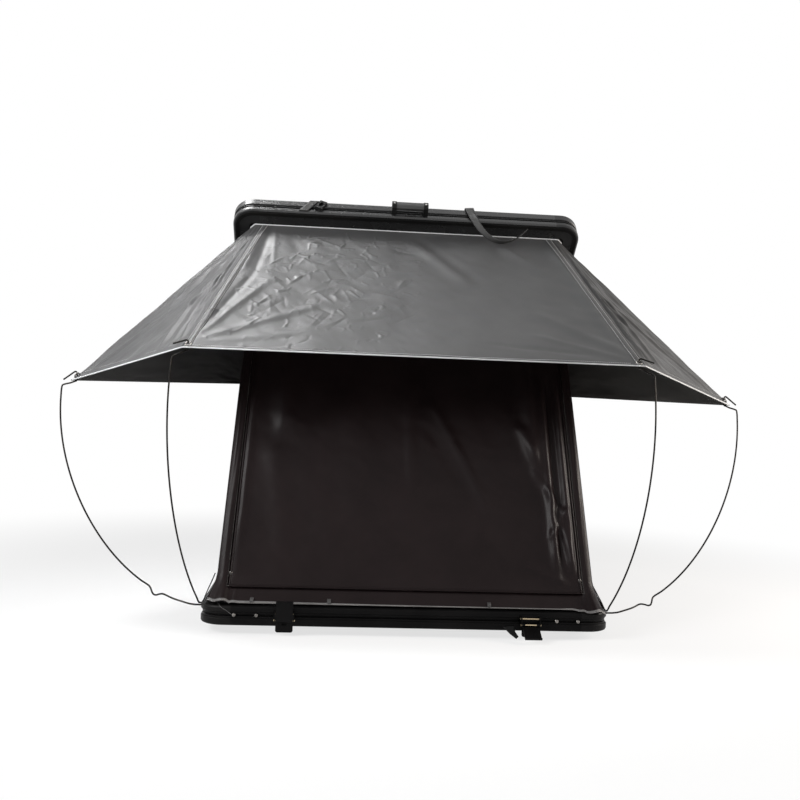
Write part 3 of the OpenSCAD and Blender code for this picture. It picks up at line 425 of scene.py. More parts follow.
def sheet_piece(name, grid, outside, inside, thick, flip=False):
    """Cloth of a given thickness on a grid of points, its outer face on the grid."""
    rows, cols = grid.shape[:2]
    across, along = run_along(grid[:, cols // 2]), run_along(grid[rows // 2])
    uv = [(across[i], along[j]) for i in range(rows) for j in range(cols)]
    faces = []
    for i in range(rows - 1):
        for j in range(cols - 1):
            ring = [i * cols + j, (i + 1) * cols + j, (i + 1) * cols + j + 1, i * cols + j + 1]
            faces.append(ring[::-1] if flip else ring)
    piece = mesh_piece(name, grid.reshape(-1, 3), faces, [outside, inside], uv)
    wall = piece.modifiers.new("thickness", "SOLIDIFY")
    wall.thickness, wall.offset, wall.material_offset = thick, -1.0, 1
    return plain(piece)


def cloth_area(grid):
    """Area of a grid of points, in square metres."""
    a, b, c, d = grid[:-1, :-1], grid[1:, :-1], grid[1:, 1:], grid[:-1, 1:]
    halves = [np.linalg.norm(np.cross(p - a, q - a), axis=-1) for p, q in ((b, c), (c, d))]
    return float(sum(halves).sum() / 2)


square = np.array([[(0, 0, 0), (0, 1, 0)], [(1, 0, 0), (1, 1, 0)]], float)
print("area of a flat square metre: %.3f" % cloth_area(square))

# %% [markdown]
# ## Folds, creases and ripples
# A fold in pulled cloth is a soft crest along a line. A pressed crease is sharp, and packing leaves a net
# of short crooked lines. Each is a function that gives a height in metres for a place on the flat cloth,
# so they can simply be added up. A bump map would be quicker, but it doesn't show at the edges or in the
# shadows.


# %% Heights on flat cloth
def soft_step(m):
    return m * m * (3 - 2 * m)


def ease(x, low, high):
    """From zero at low to one at high, with soft ends."""
    return soft_step(np.clip((x - low) / (high - low), 0, 1))


def beside(x, y, start, end):
    """Where places lie beside a line: the share of its length, and how far off."""
    (ax, ay), (bx, by) = start, end
    run = math.hypot(bx - ax, by - ay)
    share = ((x - ax) * (bx - ax) + (y - ay) * (by - ay)) / run ** 2
    return share, ((x - ax) * (by - ay) - (y - ay) * (bx - ax)) / run


def ridge(x, y, start, end, width, height):
    """A fold along a line: a soft crest that fades at both ends."""
    share, off = beside(x, y, start, end)
    fade = np.clip(np.minimum(share, 1 - share) * 4 + 0.25, 0, 1)
    return height * np.exp(-(off / width) ** 2) * soft_step(fade)


def ridges(x, y, place, lines):
    """Folds from a table: two ends in shares of the panel, then the width and height in metres."""
    height = np.zeros_like(x)
    for start, end, width, tall in lines:
        height += ridge(x, y, place(*start), place(*end), width, tall)
    return height


def crease(x, y, start, end, width, height):
    """A pressed crease along a line: a sharp crest with concave sides."""
    share, off = beside(x, y, start, end)
    return height * np.exp(-np.abs(off) / width) * np.clip(np.minimum(share, 1 - share) * 3, 0, 1)


def edge_fade(s, t, width_s, width_t):
    """Zero at the sheet's edges, one inside, so that seams stay joined."""
    a = np.clip(np.minimum(s, 1 - s) / width_s, 0, 1)
    b = np.clip(np.minimum(t, 1 - t) / width_t, 0, 1)
    return soft_step(np.minimum(a, b))


beside_fold = ridge(0.5, 0.02, (0, 0), (1, 0), width=0.02, height=1.0)
print("a fold's height one width off its line: %.2f" % beside_fold)

# %% Random ripples and packing lines
RIPPLES, SHRINK, RIPPLE_SUM = 12, 0.82, 2.4
DRIFT, DRIFT_TURN, DRIFT_LONG = 0.8, 1.3, 2.3


def wave(x, y, turn, length):
    """Phase of a ripple that runs one way."""
    return 2 * math.pi * (x * math.cos(turn) + y * math.sin(turn)) / length


def crumple(x, y, seed, longest, height):
    """Small random ripples of several lengths and directions."""
    dice = random.Random(seed)
    total = np.zeros_like(x)
    for k in range(RIPPLES):
        length = longest * SHRINK ** k
        turn = dice.uniform(0, math.pi)
        phase = dice.uniform(0, 2 * math.pi)
        drift = DRIFT * np.sin(wave(x, y, turn + DRIFT_TURN, DRIFT_LONG * length) + phase)
        total += SHRINK ** k * np.sin(wave(x, y, turn, length) + phase + drift)
    return height * total / RIPPLE_SUM


def crinkle(x, y, seed, low, high, cells, width, height):
    """Short crooked lines left by packing: borders between random cells, shown only in patches."""
    dice = random.Random(seed)
    spots = np.array([[dice.uniform(low[0], high[0]), dice.uniform(low[1], high[1])] for _ in range(cells)])
    press = np.array([dice.uniform(-0.5, 1.0) for _ in range(cells)])
    gaps = np.hypot(x[..., None] - spots[:, 0], y[..., None] - spots[:, 1])
    near = np.argpartition(gaps, 1, axis=-1)[..., :2]
    first, second = (np.take_along_axis(gaps, near[..., k:k + 1], -1)[..., 0] for k in (0, 1))
    line = np.clip(1 - np.abs(second - first) / 2 / width, 0, 1)
    patch = np.clip((crumple(x, y, seed + 1, longest=0.11, height=1.0) + 0.10) / 0.35, 0, 1)
    return height * press[near].mean(axis=-1) * soft_step(line) * patch


print("shortest ripple: %.2f of the longest" % SHRINK ** (RIPPLES - 1))

# %% [markdown]
# ## Round bars along a line
# Piping, cords and rods are round bars along a line. A curve with a bevel would do, but its ends are flat
# and its UV map isn't in metres. So the rings are worked out here: each one turns its side vector as
# little as it can, and two smaller rings dome each end.

# %% Smooth lines and tubes
DOMES = (0.25, 0.7)
ODD_WAY = (0.31, 0.2, 0.93)


def smooth_path(points, steps):
    """A smooth line through the points."""
    p = [np.asarray(q, float) for q in points]
    p = [2 * p[0] - p[1]] + p + [2 * p[-1] - p[-2]]
    line = []
    for a, b, c, d in zip(p, p[1:], p[2:], p[3:]):
        for k in range(steps):
            t = k / steps
            bend = (2 * a - 5 * b + 4 * c - d) * t * t + (3 * b - a - 3 * c + d) * t ** 3
            line.append(0.5 * (2 * b + (c - a) * t + bend))
    return line + [p[-2]]


def tube_piece(name, path, radius, made_of, sides=12):
    """A round bar along a path, with domed ends and UV in metres."""
    path = [np.asarray(p, float) for p in path]
    ways = [unit(path[min(i + 1, len(path) - 1)] - path[max(i - 1, 0)]) for i in range(len(path))]
    domes = [(radius * (1 - d), radius * math.sqrt(1 - (1 - d) ** 2)) for d in DOMES]
    rings = [(path[0] - ways[0] * out, ways[0], r) for out, r in domes]
    rings += [(p, w, radius) for p, w in zip(path, ways)]
    rings += [(path[-1] + ways[-1] * out, ways[-1], r) for out, r in domes[::-1]]
    side, run, last = unit(np.cross(ways[0], ODD_WAY)), 0.0, rings[0][0]
    points, uv, faces = [], [], []
    for centre, way, r in rings:
        side = unit(side - way * np.dot(side, way))
        other = np.cross(way, side)
        run, last = run + float(np.linalg.norm(centre - last)), centre
        for k in range(sides):
            a = 2 * math.pi * k / sides
            points.append(centre + r * (math.cos(a) * side + math.sin(a) * other))
            uv.append((radius * abs(a - math.pi), run))
    for i in range(len(rings) - 1):
        for k in range(sides):
            n = (k + 1) % sides
            faces.append([i * sides + k, i * sides + n, (i + 1) * sides + n, (i + 1) * sides + k])
    faces.append(list(range(sides))[::-1])
    faces.append([(len(rings) - 1) * sides + k for k in range(sides)])
    return mesh_piece(name, points, faces, [made_of], uv)


# %% [markdown]
# ## Awning
# One front panel and two wings meet on hip seams. They hang from a track under the lid's rim and end at
# the rods' eyelets. The corner points come first, because the panels, the seams, the eyelets and the rods
# all use them.

# %% Corner points of the awning
INSET, TRACK_DROP, CORNER_CUT = 0.070, 0.0020, 0.018
HIP_X, WING_REACH, REAR_HEM = 0.585, 1.130, 0.030
CLOTH, SEAM_GAP = 0.0016, 0.0006
FRONT = point(0.785, -1.055, 0.947)
OUTER = point(1.219, -0.750, 0.830)
AWN_Z = LID_Z - TRACK_DROP
HIP = on_lid(HIP_X, -HALF_L + INSET, AWN_Z)
KNEE = on_lid(HALF_W - INSET - CORNER_CUT, -HALF_L + INSET, AWN_Z)
TURN = on_lid(HALF_W - INSET, -HALF_L + INSET + CORNER_CUT, AWN_Z)
REAR = on_lid(HALF_W - INSET, HINGE_Y - WING_REACH, AWN_Z)
REAR_LOW = REAR + REAR_HEM * unit(OUTER - REAR)
FRONT_LONG = float(np.linalg.norm((FRONT - HIP)[1:]))
FRONT_UP = unit([0, HIP[1] - FRONT[1], HIP[2] - FRONT[2]])
FRONT_NORMAL = unit(np.cross([1, 0, 0], FRONT_UP))
print("awning falls %.3f m and is %.3f m wide at its outer corners" % (FRONT_LONG, 2 * OUTER[0]))

# %% [markdown]
# ## Front panel of the awning
# The panel is a flat trapezium with a slight sag. Its folds are set where the pull of the corners makes
# them: pleats that fan from the lid's corner and ridges that run up from the rod corners. The left half
# also has the marks of being packed away, so its part of the grid is much finer.

# %% Taut shape and folds of the front panel
FRONT_SAG, SAG_Y, SAG_Z = 0.014, 0.65, -0.76
FRONT_FOLDS = (
    ((-0.97, 0.03), (-0.945, 0.42), 0.013, 0.006), ((-0.93, 0.02), (-0.88, 0.44), 0.013, -0.0035),
    ((-0.90, 0.02), (-0.80, 0.34), 0.011, 0.0025), ((-0.82, 0.02), (-0.68, 0.24), 0.020, -0.0022),
    ((-0.62, 0.02), (-0.58, 0.22), 0.030, 0.003), ((-0.985, 0.95), (-0.77, 0.46), 0.015, 0.0055),
    ((-0.98, 0.96), (-0.46, 0.63), 0.018, 0.0055), ((-0.96, 0.97), (-0.45, 0.84), 0.018, 0.0035),
    ((-0.97, 0.90), (-0.88, 0.40), 0.014, -0.006), ((-0.02, 0.05), (0.34, 0.44), 0.024, 0.007),
    ((0.05, 0.04), (0.40, 0.40), 0.020, -0.005), ((0.60, 0.08), (0.82, 0.34), 0.024, 0.007),
    ((0.95, 0.03), (0.94, 0.86), 0.018, 0.007), ((0.55, 0.80), (0.95, 0.97), 0.014, 0.004),
    ((0.30, 0.88), (0.80, 0.94), 0.012, -0.003), ((0.985, 0.95), (0.60, 0.62), 0.022, 0.005))
CREASES, CREASE_TURNS, CREASE_STRAY = 110, (0.55, 2.3, 1.2, 2.7), 0.35


def front_half(t):
    return HIP[0] + (FRONT[0] - HIP[0]) * t


def front_place(s, t):
    """Place on the flat panel in metres: s from -1 to 1 across, t from the lid down."""
    return s * front_half(t), t * FRONT_LONG


def front_panel(s, t):
    """Point of the taut front panel."""
    sag = FRONT_SAG * np.sin(math.pi * t) * (1 - s * s)
    return np.stack([s * (front_half(t) - SEAM_GAP), between(HIP[1], FRONT[1], t) + SAG_Y * sag,
                     between(HIP[2], FRONT[2], t) + SAG_Z * sag], axis=-1)


def packing_creases(x, y):
    """Short straight creases, thrown over the left half."""
    dice = random.Random(11)
    height = np.zeros_like(x)
    for _ in range(CREASES):
        middle = front_place(dice.uniform(-0.80, 0.02), dice.uniform(0.10, 0.80))
        turn = dice.choice(CREASE_TURNS) + dice.uniform(-CREASE_STRAY, CREASE_STRAY)
        half = dice.uniform(0.05, 0.15) / 2
        dx, dy = math.cos(turn) * half, math.sin(turn) * half
        ends = (middle[0] - dx, middle[1] - dy), (middle[0] + dx, middle[1] + dy)
        height += crease(x, y, *ends, dice.uniform(0.005, 0.010), dice.uniform(-0.0030, 0.0034))
    return height


def front_folds(s, t):
    """Height of the front panel's folds, in metres."""
    x, y = front_place(s, t)
    packed = crinkle(x, y, seed=17, low=(-0.76, 0.0), high=(0.30, FRONT_LONG), cells=330, width=0.0055,
                     height=0.0040) * np.clip((0.16 - x) / 0.34, 0, 1)
    pulled = ridges(x, y, front_place, FRONT_FOLDS)
    return pulled + packing_creases(x, y) + crumple(x, y, seed=3, longest=0.36, height=0.0024) + packed


print("folds set by hand:", len(FRONT_FOLDS), "creases thrown:", CREASES)

# %% Front panel
FINE_TO, FINE_COLUMNS, PLAIN_COLUMNS, FRONT_ROWS = 0.1, 201, 45, 199
fine, coarse = np.linspace(-1, FINE_TO, FINE_COLUMNS), np.linspace(FINE_TO, 1, PLAIN_COLUMNS)
columns = np.concatenate([fine, coarse[1:]])
s, t = np.meshgrid(columns, np.linspace(0, 1, FRONT_ROWS), indexing="ij")
front_taut = front_panel(s, t)
front_height = front_folds(s, t) * edge_fade((s + 1) / 2, t, width_s=0.02, width_t=0.022)
front_grid = front_taut + FRONT_NORMAL * front_height[..., None]
awning_front = sheet_piece("awning_front_cloth", front_grid, awning_silver, awning_black, CLOTH, flip=True)
settle(awning_front, "awning_front_panel", "awning_cloth", "awning_front")

# %% [markdown]
# ## Wings of the awning
# Each wing goes round the lid's corner and out to the outer rod. It has a ridge from the lid's corner to
# that rod, and each side of it folds its own way when the lid shuts. So one formula gives the whole wing,
# and the grid is cut on the ridge into a fore and a rear part. The left wing is the right one mirrored,
# with other ripples.

# %% Taut shape of a wing
WING_SAG, WING_SAG_WAY = 0.016, point(-0.7, 0.3, -0.6)


def wing(k, t):
    """Point of the right wing: k from the hip round the ridge to the rear point, t from the lid out."""
    k, t = np.broadcast_arrays(np.asarray(k, float)[..., None], np.asarray(t, float)[..., None])
    fore_top = np.where(k < 0.25, between(HIP, KNEE, k * 4), between(KNEE, TURN, k * 4 - 1))
    top = np.where(k < 0.5, fore_top, between(TURN, REAR, k * 2 - 1))
    low = np.where(k < 0.5, between(FRONT, OUTER, k * 2), between(OUTER, REAR_LOW, k * 2 - 1))
    sag = WING_SAG * np.sin(math.pi * t) * np.abs(np.sin(2 * math.pi * k))
    return between(top, low, t) + sag * WING_SAG_WAY + point(SEAM_GAP, 0, 0)


k, t = np.meshgrid(np.linspace(0, 1, 141), np.linspace(0, 1, 101), indexing="ij")
wing_taut = wing(k, t)
RIDGE_ROW = len(wing_taut) // 2
wing_out = np.cross(np.gradient(wing_taut, axis=1), np.gradient(wing_taut, axis=0))
wing_out /= np.maximum(np.linalg.norm(wing_out, axis=-1, keepdims=True), 1e-9)
wing_out *= np.sign(wing_out[RIDGE_ROW, wing_out.shape[1] // 2, 2])
print("wing area %.3f" % cloth_area(wing_taut))

# %% Both wings, each in two parts
PARTS = {"fore": slice(0, RIDGE_ROW + 1), "rear": slice(RIDGE_ROW, None)}
WING_FOLDS = (
    ((0.03, 0.97), (0.09, 0.22), 0.014, 0.012), ((0.06, 0.97), (0.15, 0.30), 0.014, -0.010),
    ((0.12, 0.96), (0.22, 0.40), 0.020, 0.009), ((0.44, 0.96), (0.30, 0.45), 0.022, 0.006),
    ((0.10, 0.10), (0.20, 0.70), 0.020, 0.006), ((0.56, 0.95), (0.68, 0.30), 0.024, 0.006))
wing_span = float(np.linalg.norm(OUTER - TURN))
part_run = {"fore": float(np.linalg.norm(OUTER - FRONT)), "rear": float(np.linalg.norm(REAR_LOW - OUTER))}
wing_run = sum(part_run.values())


def wing_place(k, t):
    """Place on the flat wing, in metres."""
    return k * wing_run, t * wing_span


wings = {}
for (name, sign), seed in zip(SIDES, (21, 34)):
    u, v = wing_place(k, t)
    folds = crumple(u, v, seed, longest=0.34, height=0.0026) + ridges(u, v, wing_place, WING_FOLDS)
    folds = folds * edge_fade(k, t, width_s=0.03, width_t=0.05)
    grid = (wing_taut + wing_out * folds[..., None]) * mirrored(sign)
    for part, rows in PARTS.items():
        piece = sheet_piece("awning_%s_%s_cloth" % (name, part), grid[rows], awning_wing, awning_black, CLOTH,
                            flip=sign > 0)
        stands_for = ["awning_" + name] if part == "rear" else []
        settle(piece, "awning_%s_panel" % name, "awning_cloth", *stands_for)
        wings[name, part] = piece
print("wing parts:", len(wings), "span %.2f, run %.2f" % (wing_span, wing_run))

# %% [markdown]
# ## Rows along a path
# Stitches and zip teeth are one small shape repeated along a line. A Geometry Nodes tree does this well:
# it turns the line into evenly spaced points, puts the shape on each and makes the result real. The line
# is a mesh of edges, and the spacing, the size of the shape and its finish are inputs of the tree.


# %% A tree that sets a small shape along a line
def row_tree():
    tree = bpy.data.node_groups.new("row_along_path", "GeometryNodeTree")
    face = tree.interface
    face.new_socket("Line", in_out="INPUT", socket_type="NodeSocketGeometry")
    for name, value in (("Spacing", 0.006), ("Half Width", 0.0004), ("Half Length", 0.002)):
        face.new_socket(name, in_out="INPUT", socket_type="NodeSocketFloat").default_value = value
    face.new_socket("Finish", in_out="INPUT", socket_type="NodeSocketMaterial")
    face.new_socket("Row", in_out="OUTPUT", socket_type="NodeSocketGeometry")
    start, end = tree.nodes.new("NodeGroupInput"), tree.nodes.new("NodeGroupOutput")
    given = start.outputs
    line = add(tree, "GeometryNodeMeshToCurve", {"Mesh": given["Line"]})
    spots = add(tree, "GeometryNodeCurveToPoints", {"Curve": line.outputs["Curve"],
                                                    "Length": given["Spacing"]}, mode="LENGTH")
    bead = add(tree, "GeometryNodeMeshUVSphere", segments=6, rings=4, radius=1.0)
    size = add(tree, "ShaderNodeCombineXYZ", {"X": given["Half Width"], "Y": given["Half Width"],
                                              "Z": given["Half Length"]})
    row = add(tree, "GeometryNodeInstanceOnPoints", {
        "Points": spots.outputs["Points"], "Instance": bead.outputs["Mesh"],
        "Rotation": spots.outputs["Rotation"], "Scale": size.outputs["Vector"]})
    real = add(tree, "GeometryNodeRealizeInstances", {"Geometry": row.outputs["Instances"]})
    dressed = add(tree, "GeometryNodeSetMaterial", {"Geometry": real.outputs["Geometry"],
                                                    "Material": given["Finish"]})
    tree.links.new(dressed.outputs["Geometry"], end.inputs["Row"])
    return tree


ROW = row_tree()


def row_piece(name, lines, spacing, half_width, half_length, made_of):
    """Small shapes along one or more lines, as one plain mesh."""
    points, edges = [], []
    for line in lines:
        first = len(points)
        points += [tuple(p) for p in line]
        edges += [(first + i, first + i + 1) for i in range(len(line) - 1)]
    mesh = bpy.data.meshes.new(name)
    mesh.from_pydata(points, edges, [])
    piece = bpy.data.objects.new(name, mesh)
    bpy.context.scene.collection.objects.link(piece)
    rows = piece.modifiers.new("row", "NODES")
    rows.node_group = ROW
    sockets = {i.name: i.identifier for i in ROW.interface.items_tree if i.in_out == "INPUT"}
    values = {"Spacing": spacing, "Half Width": half_width, "Half Length": half_length, "Finish": made_of}
    for key, value in values.items():
        rows[sockets[key]] = value
    return plain(piece)


print("row tree nodes:", len(ROW.nodes))

# %% [markdown]
# ## Seams and piping of the front panel
# A hip seam is a flat tape with a row of stitches down each edge. The outer hem and the lid's edge have a
# pale piping cord. All of them follow the panels' own grids, so they sit on the cloth itself.

# %% Hip tapes
TAPE, TAPE_T, LIFT, STITCH_LIFT = 0.026, 0.0009, 0.0012, 0.0015
panel_half = front_half(np.linspace(0, 1, front_grid.shape[1]))


def front_line(sign, in_by, lift):
    """A line down the folded front panel, a set way in from a hip."""
    line = []
    for j, half in enumerate(panel_half):
        x, column = sign * (half - SEAM_GAP - in_by), front_grid[:, j]
        on_cloth = point(*(np.interp(x, column[:, 0], column[:, axis]) for axis in range(3)))
        line.append(on_cloth + FRONT_NORMAL * lift)
    return line


tapes, tape_rows = [], []
for name, sign in reversed(SIDES):
    strip = np.stack([front_line(sign, 0.001, LIFT), front_line(sign, TAPE, LIFT)])
    tapes.append(sheet_piece("hip_tape_" + name, strip, seam_tape, seam_tape, TAPE_T, flip=sign < 0))
    tape_rows += [front_line(sign, in_by, STITCH_LIFT) for in_by in (0.004, TAPE - 0.003)]
print("hip tapes:", len(tapes), "rows of stitches:", len(tape_rows))

# %% Piping and stitches
PIPE_R, LID_PIPE_R, HEM_LIFT, LID_LIFT = 0.0024, 0.0026, 0.0004, 0.002
LID_RUN_ROW = 84
hem_line = [p + FRONT_NORMAL * HEM_LIFT for p in front_grid[::4, -1]]
hem_cord = tube_piece("awning_front_piping", hem_line, PIPE_R, piping_white)
corner_run = [wing_taut[i, 0] for i in range(LID_RUN_ROW, 0, -3)]
lid_line = [p * mirrored(-1) for p in corner_run] + list(front_grid[2:-2:4, 0]) + corner_run[::-1]
lid_line = [p + FRONT_NORMAL * LID_LIFT for p in lid_line]
lid_cord = tube_piece("awning_lid_piping", lid_line, LID_PIPE_R, piping_white)
hem_row = [p + FRONT_NORMAL * HEM_LIFT for p in front_grid[3:-3, -4]]
front_stitches = row_piece("awning_front_stitches", tape_rows + [hem_row], spacing=0.0065, half_width=0.0009,
                           half_length=0.0027, made_of=thread_pale)
front_soft = [awning_front, *tapes, hem_cord, front_stitches]
for piece in (*tapes, hem_cord, front_stitches):
    settle(piece, "awning_front_panel", "piping")
settle(lid_cord, "lid", "piping")
print("faces in the front panel's stitches:", len(front_stitches.data.polygons))

# %% [markdown]
# ## Eyelets and wing hems
# An eyelet is a pressed metal ring, so it is a rounded section turned about the cloth's normal. The wings'
# hems are piped like the front one as far as the outer rod. Behind it a plain dark hem is enough.

# %% Eyelets
EYE_IN, EYE_LEAN, EYE_SIDES = 0.026, point(-0.95, 0, 0), 28
EYE_SECTION = ((0.0075, -0.0020), (0.0075, 0.0020), (0.0088, 0.0030), (0.0106, 0.0024), (0.0120, 0.0010),
               (0.0120, -0.0010), (0.0106, -0.0024), (0.0088, -0.0030))
FOLD_NORMAL = unit(np.cross(REAR - TURN, OUTER - TURN))


def ring_piece(name, centres, normal_of, made_of):
    """Pressed eyelets: a rounded washer section turned about each normal."""
    points, faces, count = [], [], len(EYE_SECTION)
    for centre, normal in zip(centres, normal_of):
        first, across = len(points), unit(np.cross(normal, [0.3, 0.9, 0.2]))
        other = np.cross(normal, across)
        for k in range(EYE_SIDES):
            turn = 2 * math.pi * k / EYE_SIDES
            spoke = math.cos(turn) * across + math.sin(turn) * other
            points += [centre + r * spoke + h * normal for r, h in EYE_SECTION]
        for k in range(EYE_SIDES):
            a, b = first + k * count, first + (k + 1) % EYE_SIDES * count
            for i in range(count):
                n = (i + 1) % count
                faces.append([a + i, b + i, b + n, a + n])
    return mesh_piece(name, points, faces, [made_of])


front_eye = FRONT + EYE_IN * unit(FRONT_UP + EYE_LEAN)
outer_eye = OUTER + EYE_IN * unit(TURN - OUTER)
outer_normal = FOLD_NORMAL * np.sign(FOLD_NORMAL[2])
front_eyes = [front_eye, front_eye * mirrored(-1)]
front_rings = ring_piece("eyelets_front_rings", front_eyes, [FRONT_NORMAL] * 2, face_steel)
settle(front_rings, "awning_front_panel", "steel", "eyelets_front")
front_soft.append(front_rings)
for name, sign in SIDES:
    centre, normal = outer_eye * mirrored(sign), outer_normal * mirrored(sign)
    ring = ring_piece("eyelet_%s_ring" % name, [centre], [normal], face_steel)
    settle(ring, "awning_%s_panel" % name, "steel", "eyelet_" + name)
print("front eyelet at", front_eye.round(3), "outer eyelet at", outer_eye.round(3))

# %% Wing hems
REAR_HEM_R, WING_STITCH_LIFT = 0.0020, 0.0005
wing_soft = {}
for name, sign in SIDES:
    low = wing_taut[:, -1] * mirrored(sign)
    hem = tube_piece("awning_%s_piping" % name, low[:RIDGE_ROW + 1:3], PIPE_R, piping_white)
    rear = tube_piece("awning_%s_rear_hem" % name, low[RIDGE_ROW::3], REAR_HEM_R, awning_black)
    sewn = (wing_taut + wing_out * WING_STITCH_LIFT)[3:RIDGE_ROW + 1, -5] * mirrored(sign)
    stitch = row_piece("awning_%s_stitches" % name, [sewn], spacing=0.0065, half_width=0.0006,
                       half_length=0.0022, made_of=thread_pale)
    wing_soft[name] = {"fore": [wings[name, "fore"], hem, stitch], "rear": [wings[name, "rear"], rear]}
    for piece in (hem, rear, stitch):
        settle(piece, "awning_%s_panel" % name, "piping")
print("wing hems done:", list(wing_soft))

# %% [markdown]
# ## Entry wall
# The walls run from a hem on the base rim to the lid. The entry wall is a flat trapezium behind the door;
# only its side strips and its foot show. The strips bulge like a soft tube, and the foot stands out as a
# skirt over the rim, with a ruffled corner that hangs over at the right.

# %% Size and taut shape of the entry wall
TRACK_T, HEM_D, SOFT_GAP = 0.0015, 0.004, 0.0005
WALL_IN, WALL_TOP_X, WALL_GAP, WALL_T = 0.045, 0.603, 0.0015, 0.0014
WALL_DROP, WALL_BACK = 0.0025, 0.012
HEM_TOP = RIM_Z + TRACK_T + HEM_D
WALL_Y, WALL_Z, WALL_TOP_Z = -HALF_L + WALL_IN, HEM_TOP + SOFT_GAP, LID_Z - WALL_DROP
WALL_HALF_LOW, WALL_HALF_TOP = HALF_W - WALL_IN - WALL_GAP, WALL_TOP_X - WALL_GAP
WALL_HEAD = on_lid(0, -HALF_L + INSET + WALL_BACK, WALL_TOP_Z)
WALL_LEAN, WALL_RISE = WALL_HEAD[1] - WALL_Y, WALL_HEAD[2] - WALL_Z
WALL_LONG = math.hypot(WALL_LEAN, WALL_RISE)
WALL_UP, WALL_OUT = unit([0, WALL_LEAN, WALL_RISE]), unit([0, -WALL_RISE, WALL_LEAN])
DOOR_SHARE, DOOR_FOOT, DOOR_HEAD = 13 / 14, 0.035, 0.955
SKIRT, SKIRT_UP = 0.030, 0.085


def wall_half(t):
    return WALL_HALF_LOW + (WALL_HALF_TOP - WALL_HALF_LOW) * t


def entry_wall(s, t):
    """Point of the taut entry wall: s from -1 to 1 across, t from the hem up."""
    return np.stack([s * wall_half(t), WALL_Y + WALL_LEAN * t, WALL_Z + WALL_RISE * t], axis=-1)


def skirt(height):
    """How far a wall's foot stands out over the rim, by the height above its hem."""
    return SKIRT * np.clip(1 - height / SKIRT_UP, 0, 1) ** 1.5


print("entry wall %.3f wide at its foot, %.3f long" % (2 * WALL_HALF_LOW, WALL_LONG))

# %% Entry wall with its rolls and skirt
BULGE, FLARE, FLARE_UP, GATHER = 0.009, 0.006, 0.045, 0.0016
WIDE_GATHERS, CLOSE_GATHERS = 260, 410
RUFFLE, RUFFLE_WAVES, LIFT_WAVES = 0.0035, 230, 118
CORNER_OUT, CORNER_BACK, OVERHANG, DROOP = 0.75, 0.12, 0.022, 0.010


def wall_roll(s, t):
    """The strips beside the door bulge like a soft tube, with small upright gathers."""
    u = np.clip((np.abs(s) - DOOR_SHARE) / (1 - DOOR_SHARE), 0, 1)
    gather = np.sin(s * WIDE_GATHERS + 2.2 * np.sin(t * 11))
    gather = gather + 0.6 * np.sin(s * CLOSE_GATHERS - 3.0 * np.sin(t * 7 + s))
    flare = np.exp(-(t / FLARE_UP) ** 2)
    return np.sin(math.pi * u) * (BULGE + FLARE * flare + GATHER * gather * np.sin(math.pi * t))


levels = np.concatenate([np.linspace(0, 0.08, 25), np.linspace(0.08, 1, 71)[1:]])
s, t = np.meshgrid(np.linspace(-1, 1, 281), levels, indexing="ij")
back_taut = entry_wall(s, t)
back_grid = back_taut + WALL_OUT * wall_roll(s, t)[..., None]
reach = skirt(t * WALL_RISE)
corner, over = ease(np.abs(s), 0.93, 1), ease(s, 0.85, 0.97) * (reach / SKIRT) ** 2
ruffle = RUFFLE * ease(np.abs(s), 0.86, 0.97) * reach / SKIRT
back_grid[..., 0] += np.sign(s) * CORNER_OUT * reach * corner
back_grid[..., 1] -= reach * (1 - CORNER_BACK * corner) + ruffle * np.sin(s * RUFFLE_WAVES) + OVERHANG * over
back_grid[..., 2] += ruffle * (1 + np.sin(s * LIFT_WAVES)) - DROOP * over
front_wall = sheet_piece("front_wall_cloth", back_grid, wall_cloth, wall_cloth, WALL_T)
settle(front_wall, "base", "wall_cloth", "front_wall")

# %% [markdown]
# ## Door and zip
# The door is one heavy panel that a zip holds on three sides. Heavy cloth shows a few broad folds, so
# they are set one by one: soft uprights at the left, one slanting fold in the middle and close pleats by
# the right-hand zip. A bound edge follows the door's own rim, and the zip's teeth run just outside it.

# %% Door
DOOR_T, DOOR_LIFT, DEEPEST = 0.0016, 0.0075, -0.004
WALL_FOLDS = (
    ((0.00, 0.66), (0.02, 0.26), 0.020, 0.006), ((0.06, 0.66), (0.06, 0.34), 0.020, -0.004),
    ((0.12, 0.52), (0.47, 0.22), 0.018, 0.006), ((0.10, 0.45), (0.42, 0.20), 0.024, -0.004),
    ((0.70, 0.68), (0.75, 0.34), 0.034, 0.024), ((0.64, 0.46), (0.79, 0.30), 0.020, 0.012),
    ((0.80, 0.62), (0.81, 0.06), 0.018, 0.019), ((0.85, 0.58), (0.84, 0.10), 0.014, -0.012),
    ((0.89, 0.60), (0.90, 0.08), 0.014, 0.014), ((0.84, 0.24), (0.90, 0.08), 0.013, 0.012),
    ((0.70, 0.34), (0.88, 0.22), 0.014, 0.009), ((0.78, 0.16), (0.90, 0.24), 0.012, 0.008),
    ((0.62, 0.10), (0.88, 0.05), 0.015, 0.006), ((-0.76, 0.70), (-0.71, 0.40), 0.036, 0.017),
    ((-0.78, 0.40), (-0.66, 0.10), 0.045, 0.005), ((-0.90, 0.60), (-0.91, 0.14), 0.016, 0.007),
    ((-0.45, 0.60), (-0.40, 0.20), 0.050, -0.004), ((0.40, 0.18), (0.58, 0.08), 0.020, 0.004))


def wall_place(s, t):
    """Place on the flat entry wall, in metres."""
    return s * wall_half(t), t * WALL_LONG


def wall_folds(s, t):
    """Height of the door's folds, in metres; the valleys stop short of the wall behind."""
    x, y = wall_place(s, t)
    folds = ridges(x, y, wall_place, WALL_FOLDS) + crumple(x, y, seed=8, longest=0.42, height=0.0022)
    return np.maximum(folds, DEEPEST)


